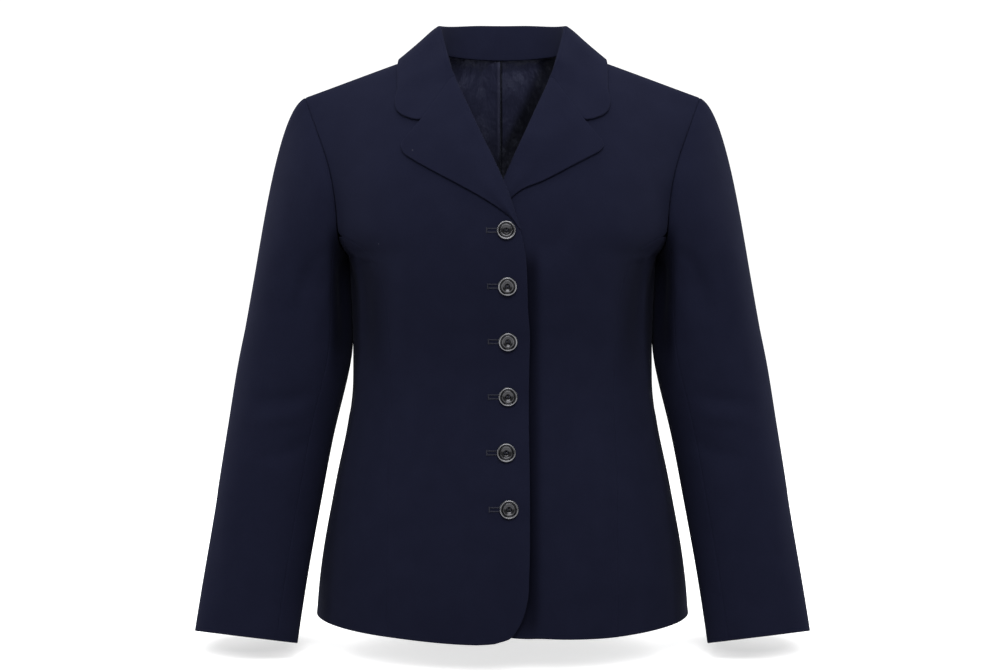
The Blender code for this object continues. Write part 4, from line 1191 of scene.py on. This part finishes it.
class Socket:
    """A node's output. Arithmetic on it adds Math nodes."""

    def __init__(self, finish, link):
        self.finish = finish
        self.link = link

    __add__ = __radd__ = operation("ADD")
    __sub__ = operation("SUBTRACT")
    __rsub__ = operation("SUBTRACT", swapped=True)
    __mul__ = __rmul__ = operation("MULTIPLY")
    __pow__ = operation("POWER")
    size = operation("ABSOLUTE")
    sine = operation("SINE")

    def band(self, rise, fall):
        """1 between two eased slopes, up and down again."""
        return self.within(*rise) * (1 - self.within(*fall))

    def within(self, low, high):
        """0 at low, 1 at high, eased between."""
        settings = {"interpolation_type": "SMOOTHSTEP"}
        return self.finish.node("ShaderNodeMapRange", settings, {0: self, 1: low, 2: high})


class Finish:
    """A material: its shader's fixed numbers, and the nodes that feed it."""

    def __init__(self, name, **fixed):
        self.material = bpy.data.materials.new(name)
        self.material.use_nodes = True
        self.tree = self.material.node_tree
        self.shader = self.tree.nodes["Principled BSDF"]
        for socket, value in fixed.items():
            self.shader.inputs[socket.replace("_", " ")].default_value = value

    def node(self, kind, settings, values, output=0):
        made = self.tree.nodes.new(kind)
        for key, value in settings.items():
            setattr(made, key, value)
        for key, value in values.items():
            self.feed(made.inputs[key], value)
        return Socket(self, made.outputs[output])

    def feed(self, target, value):
        if isinstance(value, Socket):
            self.tree.links.new(value.link, target)
        else:
            target.default_value = value

    def set(self, socket, value):
        self.feed(self.shader.inputs[socket], value)

    def places(self):
        """The piece's own metres."""
        return self.node("ShaderNodeTexCoord", {}, {}, "Object")

    def xyz(self):
        place = self.places()
        return tuple(self.node("ShaderNodeSeparateXYZ", {}, {0: place}, i) for i in range(3))

    def cut(self):
        """Metres across and down the flat cloth."""
        place = self.node("ShaderNodeUVMap", {"uv_map": "cut"}, {})
        return tuple(self.node("ShaderNodeSeparateXYZ", {}, {0: place}, i) for i in (0, 1))

    def noise(self, scale, detail=2.0, stretch=None):
        place = self.places()
        if stretch:
            place = self.node("ShaderNodeMapping", {}, {"Vector": place, "Scale": stretch})
        values = {"Vector": place, "Scale": scale, "Detail": detail}
        return self.node("ShaderNodeTexNoise", {}, values)

    def mix(self, share, first, second):
        values = {0: share, 6: first, 7: second}
        return self.node("ShaderNodeMix", {"data_type": "RGBA"}, values, 2)

    def bump(self, height, distance, strength=1.0, normal=None):
        values = {"Height": height, "Distance": distance, "Strength": strength}
        if normal:
            values["Normal"] = normal
        return self.node("ShaderNodeBump", {}, values)


TWILL = 0.0009  # metres from rib to rib
THREAD = 0.00045
LINT_CELLS = 24.0  # a metre
LINT_SIZE = (0.010, 0.020)  # of a cell
LINT_RARITY = (0.74, 0.75)  # the share of cells with none
# the colour of the painted shade that darkens the cloth in hollow places and beside the front edge
PAINTED_CLOTH_SHADE = (0.0014, 0.0014, 0.0034, 1.0)
LINT = (0.075, 0.078, 0.10, 1.0)
EVERYWHERE = (-2.0, -1.0)  # a slope that lies before every place
# Painted shade for hollow places that little light gets into, in metres: the slopes up and down
# between which the painted shade is full, aside, back and in height, and how dark it is painted.
# They are in front of the side seams under the bust, and between the body and the sleeves.
# aside | back | height | depth
PAINTED_HOLLOW_SHADES = [
    (
        ((0.105, 0.137), (0.142, 0.160)),
        (EVERYWHERE, (-0.075, -0.025)),
        ((-0.375, -0.285), (-0.250, -0.190)),
        0.42,
    ),
    (
        ((0.148, 0.158), (0.176, 0.186)),
        ((-0.075, -0.045), (0.045, 0.065)),
        ((-0.375, -0.300), (-0.205, -0.180)),
        0.7,
    ),
]
# And a painted shadow on the lower front, beside the upper one's edge.
PAINTED_EDGE_SHADOW = (
    (EVERYWHERE, (0.029, 0.042)),
    (EVERYWHERE, (-0.06, -0.04)),
    ((-0.612, -0.585), (-0.235, -0.205)),
    0.6,
)


def painted_hollow_shade(cloth, lower):
    """How strongly painted shade darkens the cloth: the sum of each hollow's depth times its
    bands, with the painted shadow beside the edge on the lower front.
    """
    x, y, z = cloth.xyz()
    shade = 0.0
    for aside, back, height, depth in PAINTED_HOLLOW_SHADES + [PAINTED_EDGE_SHADOW] * lower:
        shade = shade + x.size().band(*aside) * y.band(*back) * z.band(*height) * depth
    return shade


def navy_cloth(name, lower=False):
    """Fine worsted twill: slanting ribs broken into threads, a faint mottle and nap, and a few
    specks of lint. Painted shade darkens it under the bust and between the body and the sleeves,
    and with `lower` a painted shadow lies beside the upper front's edge."""
    cloth = Finish(
        name,
        Sheen_Weight=0.014,
        Sheen_Roughness=0.5,
        Sheen_Tint=(0.70, 0.74, 1.0, 1.0),
        Specular_IOR_Level=0.015,
    )
    across, down = cloth.cut()
    turn = 2 * math.pi
    ribs = ((across + down * 0.62) * (turn / TWILL)).sine() * 0.5 + 0.5
    threads = ((down - across * 0.35) * (turn / THREAD)).sine() * 0.5 + 0.5
    weave = ribs * 0.7 + threads * ribs * 0.3
    mottle = cloth.noise(38.0, 4.0)
    fine = cloth.noise(900.0, 2.0)
    nap = cloth.noise(5.0, 2.0)
    tone = (mottle * 0.35 + fine * 0.5 + nap * 0.15).within(0.32, 0.68)
    dark = (0.0082, 0.0092, 0.0212, 1.0)
    light = (0.0113, 0.0127, 0.0281, 1.0)
    colour = cloth.mix(tone * 0.7 + weave * 0.3, dark, light)
    # painted shade in the hollow places, and on the lower front a painted shadow beside the edge
    colour = cloth.mix(painted_hollow_shade(cloth, lower), colour, PAINTED_CLOTH_SHADE)
    cells = {"Vector": cloth.places(), "Scale": LINT_CELLS}
    to_speck = cloth.node("ShaderNodeTexVoronoi", {}, cells, 0)
    chosen = cloth.node("ShaderNodeTexVoronoi", {}, cells, 1)
    chosen = cloth.node("ShaderNodeSeparateColor", {}, {0: chosen}, 0).within(*LINT_RARITY)
    lint = (1 - to_speck.within(*LINT_SIZE)) * chosen
    cloth.set("Base Color", cloth.mix(lint * 0.8, colour, LINT))
    cloth.set("Roughness", 0.78 + fine * 0.16)
    soft = cloth.bump(mottle, 0.0006, 0.35)
    cloth.set("Normal", cloth.bump(weave + fine * 0.5, 0.00007, 0.5, soft))
    return cloth.material


FLOATS = 0.0005
NECK_SHADE = (-0.125, -0.020)  # the heights between which painted shade darkens the lining downwards
ROLL_SLOPE = 0.389  # the painted shade beside the wearer's left lapel follows x = slope * z + start
ROLL_START = 0.0477
ROLL_SHADE = (-0.014, 0.004)  # aside of that line
ROLL_FOOT = (-0.16, -0.12)  # the heights over which it comes in
# The slopes in x of the painted shadow along the pleat's fold and of the painted highlight on its
# crest.
PLEAT_SHADE = ((-0.0030, -0.0024), (-0.0008, 0.0006))
PLEAT_HIGHLIGHT_BAND = ((-0.0064, -0.0048), (-0.0036, -0.0028))
# the colours of the satin's painted shade and of the painted highlight on the pleat's crest
SATIN_SHADE = (0.0022, 0.0023, 0.0048, 1.0)
SATIN_PAINTED_HIGHLIGHT = (0.055, 0.058, 0.095, 1.0)


def lining_satin():
    """Smooth satin: faint lengthwise floats and soft ripples in the gloss. Painted shade darkens
    it down the neck and beside the lapel, a painted shadow runs beside its pleat, and the pleat's
    crest has a painted highlight."""
    satin = Finish(
        "lining satin",
        Specular_IOR_Level=0.35,
        Specular_Tint=(0.70, 0.76, 1.0, 1.0),
        Sheen_Weight=0.06,
        Sheen_Tint=(0.70, 0.76, 1.0, 1.0),
    )
    across, _ = satin.cut()
    floats = (across * (2 * math.pi / FLOATS)).sine() * 0.5 + 0.5
    ripple = satin.noise(30.0, 4.0, (1.0, 1.0, 0.45))
    tone = satin.noise(60.0, 3.0)
    colour = satin.mix(tone, (0.0155, 0.0168, 0.037, 1.0), (0.024, 0.0258, 0.054, 1.0))
    x, _, z = satin.xyz()
    # painted shade down the neck, and beside the wearer's left lapel
    lower = 1 - z.within(*NECK_SHADE)
    beside = (x - z * ROLL_SLOPE - ROLL_START).within(*ROLL_SHADE) * z.within(*ROLL_FOOT)
    # a painted shadow along the pleat's fold
    fold = x.band(*PLEAT_SHADE)
    shaded = (lower * 0.68 + beside * 0.78 + fold * 0.7).within(0.0, 1.0)
    colour = satin.mix(shaded, colour, SATIN_SHADE)
    # a painted highlight along the pleat's crest
    crest = x.band(*PLEAT_HIGHLIGHT_BAND) * (1 - shaded)
    satin.set("Base Color", satin.mix(crest * 0.45, colour, SATIN_PAINTED_HIGHLIGHT))
    satin.set("Roughness", 0.33 + ripple * 0.14)
    soft = satin.bump(ripple, 0.009, 1.0)
    satin.set("Normal", satin.bump(floats, 0.00003, 0.4, soft))
    return satin.material


def button_gloss():
    """Polished black over metal: a paler worn rim and ring, dark grooves, fine turning marks."""
    gloss = Finish("button gloss", Metallic=0.9, Coat_Weight=0.25, Coat_Roughness=0.06)
    place = gloss.node("ShaderNodeUVMap", {"uv_map": "face"}, {})
    radius = gloss.node("ShaderNodeVectorMath", {"operation": "LENGTH"}, {0: place}, 1)
    smear = gloss.noise(420.0, 3.0)
    rim = radius.within(0.0077, 0.0084)
    ring = radius.band((0.0046, 0.0055), (0.0059, 0.0063))
    dish = radius.band((0.0020, 0.0034), (0.0042, 0.0050))
    worn = rim + ring * 0.3 + dish * 0.1 + smear * 0.08
    gloss.set("Base Color", gloss.mix(worn, (0.009, 0.009, 0.011, 1), (0.125, 0.126, 0.135, 1)))
    marks = (radius * (2 * math.pi / 0.00022)).sine()
    gloss.set("Roughness", 0.16 + smear * 0.12)
    gloss.set("Normal", gloss.bump(marks * 0.2 + smear, 0.00003, 0.4))
    return gloss.material


def sewing_thread():
    """Twisted thread, a little paler than the cloth."""
    thread = Finish("sewing thread", Sheen_Weight=0.05, Specular_IOR_Level=0.2)
    twist = thread.noise(1600.0, 2.0)
    thread.set("Base Color", thread.mix(twist, (0.010, 0.011, 0.021, 1), (0.028, 0.030, 0.046, 1)))
    thread.set("Roughness", 0.55 + twist * 0.2)
    thread.set("Normal", thread.bump(twist, 0.0001, 0.6))
    return thread.material


CUFF_X = 0.27  # the middle of the painted shadow below a cuff
CUFF_Y = 0.015


def floor_white():
    """A pale floor with a glow of its own, as one lit from below, so that shadows stay soft.
    Painted shade makes its glow a little weaker round the blazer, and a painted shadow darkens its
    glow and colour close to the cuffs."""
    white = Finish("floor white", Specular_IOR_Level=0.1, Emission_Strength=FLOOR_GLOW)
    tone = white.noise(3.0, 2.0)
    pale = white.mix(tone, (0.88, 0.88, 0.885, 1), (0.90, 0.90, 0.905, 1))
    x, y, _ = white.xyz()
    from_cuff = ((x.size() - CUFF_X) ** 2 + (y - CUFF_Y) ** 2) ** 0.5
    # a painted shadow below each cuff
    cuff_painted_shadow = 1 - from_cuff.within(0.03, 0.105)
    # painted shade: the glow is weaker near the blazer
    far = ((x**2 + y**2) ** 0.5).within(0.35, 0.9)
    glow = white.mix(far, (0.75, 0.75, 0.75, 1), (1, 1, 1, 1))
    white.set("Emission Color", white.mix(cuff_painted_shadow * 0.8, glow, (0.3, 0.3, 0.3, 1)))
    white.set("Base Color", white.mix(cuff_painted_shadow * 0.7, pale, (0.4, 0.4, 0.4, 1)))
    white.set("Roughness", 0.9 + tone * 0.05)
    return white.material


class Surround(Finish):
    """The white room: bright to look at, and a weaker soft light from all round."""

    def __init__(self, name, seen, lit):
        self.world = bpy.data.worlds.new(name)
        self.world.use_nodes = True
        self.tree = self.world.node_tree
        self.shader = self.tree.nodes["Background"]
        self.shader.inputs["Color"].default_value = (1.0, 1.0, 1.0, 1.0)
        looking = self.node("ShaderNodeLightPath", {}, {}, "Is Camera Ray")
        self.set("Strength", looking * (seen - lit) + lit)


# ---- the studio ----

FLOOR_Z = -0.642
FLOOR_HALF = 14.0
ROOM_SEEN = 1.12  # the room's strength to the camera, and ROOM_LIGHT to everything else
FLOOR_GLOW = 0.88
ROOM_LIGHT = 0.32
# name, place, aim, size, power
LIGHTS = [
    ("front softbox", (0.0, -2.2, 1.3), (0, 0, -0.15), (1.5, 1.3), 53),
    ("top softbox", (0.0, 0.1, 1.6), (0, 0, -0.2), (1.6, 1.2), 17),
    ("right strip", (-1.9, -0.5, 0.1), (0, 0, -0.2), (0.3, 1.2), 6),
    ("left strip", (1.9, -0.5, 0.1), (0, 0, -0.2), (0.3, 1.2), 6),
    ("right back softbox", (-1.7, 0.8, 0.3), (0, 0, -0.2), (0.8, 1.6), 24),
    ("left back softbox", (1.7, 0.8, 0.3), (0, 0, -0.2), (0.8, 1.6), 24),
]
CAMERA_PLACE = (0.0, -2.0, -0.225)
CAMERA_LENS = 66.15
CAMERA_SHIFT = (1.5 / 1008, -76 / 1008)


def add_light(name, place, aim, size, power):
    """A softbox: a rectangle of light that faces its aim."""
    lamp = bpy.data.lights.new(name, "AREA")
    lamp.shape = "RECTANGLE"
    lamp.size, lamp.size_y = size
    lamp.energy = power
    light = placed(name, lamp)
    way = unit(np.array(aim, float) - np.array(place, float))
    light.rotation_euler = (math.acos(-way[2]), 0, math.atan2(-way[0], way[1]))
    light.location = place


def make_studio():
    """The floor, the room, the lights and the camera."""
    mesh = bpy.data.meshes.new("floor")
    square = ((-1, -1), (1, -1), (1, 1), (-1, 1))
    corners = [(x * FLOOR_HALF, y * FLOOR_HALF, FLOOR_Z) for x, y in square]
    mesh.from_pydata(corners, [], [(0, 1, 2, 3)])
    mesh.materials.append(floor_white())
    floor = placed("floor", mesh)
    floor.visible_diffuse = False
    scene = bpy.context.scene
    scene.world = Surround("studio", ROOM_SEEN, ROOM_LIGHT).world
    scene.view_settings.view_transform = "Standard"
    for row in LIGHTS:
        add_light(*row)
    camera = placed("camera", bpy.data.cameras.new("camera"))
    camera.location = CAMERA_PLACE
    camera.rotation_euler = (math.pi / 2, 0, 0)
    camera.data.lens = CAMERA_LENS
    camera.data.shift_x, camera.data.shift_y = CAMERA_SHIFT
    scene.camera = camera


def make_blazer():
    """Every piece on both sides, with its finish."""
    cloth, satin, thread = navy_cloth("navy cloth"), lining_satin(), sewing_thread()
    gloss = button_gloss()
    both = [cloth, satin]
    # the lower front gets a copy of the cloth with a painted shadow beside the upper front's edge
    lower_cloth_with_painted_shadow = navy_cloth("navy cloth, lower front", lower=True)
    for word, side in SIDES.items():
        make_front(word, side, both if side < 0 else [lower_cloth_with_painted_shadow, satin])
        make_side_front(word, side, both)
        make_back(word, side, both)
        make_sleeve(word, "top_sleeve", side, HIND_SEAM, FORE_SEAM, both)
        make_sleeve(word, "under_sleeve", side, FORE_SEAM, 360 + HIND_SEAM, both)
        make_lapel(word, side, [cloth])
    make_collar([cloth])
    make_back_lining([satin])
    for number in range(len(BUTTON_X)):
        make_button(number, gloss, thread)
        make_buttonhole(number, thread)


make_studio()
make_blazer()
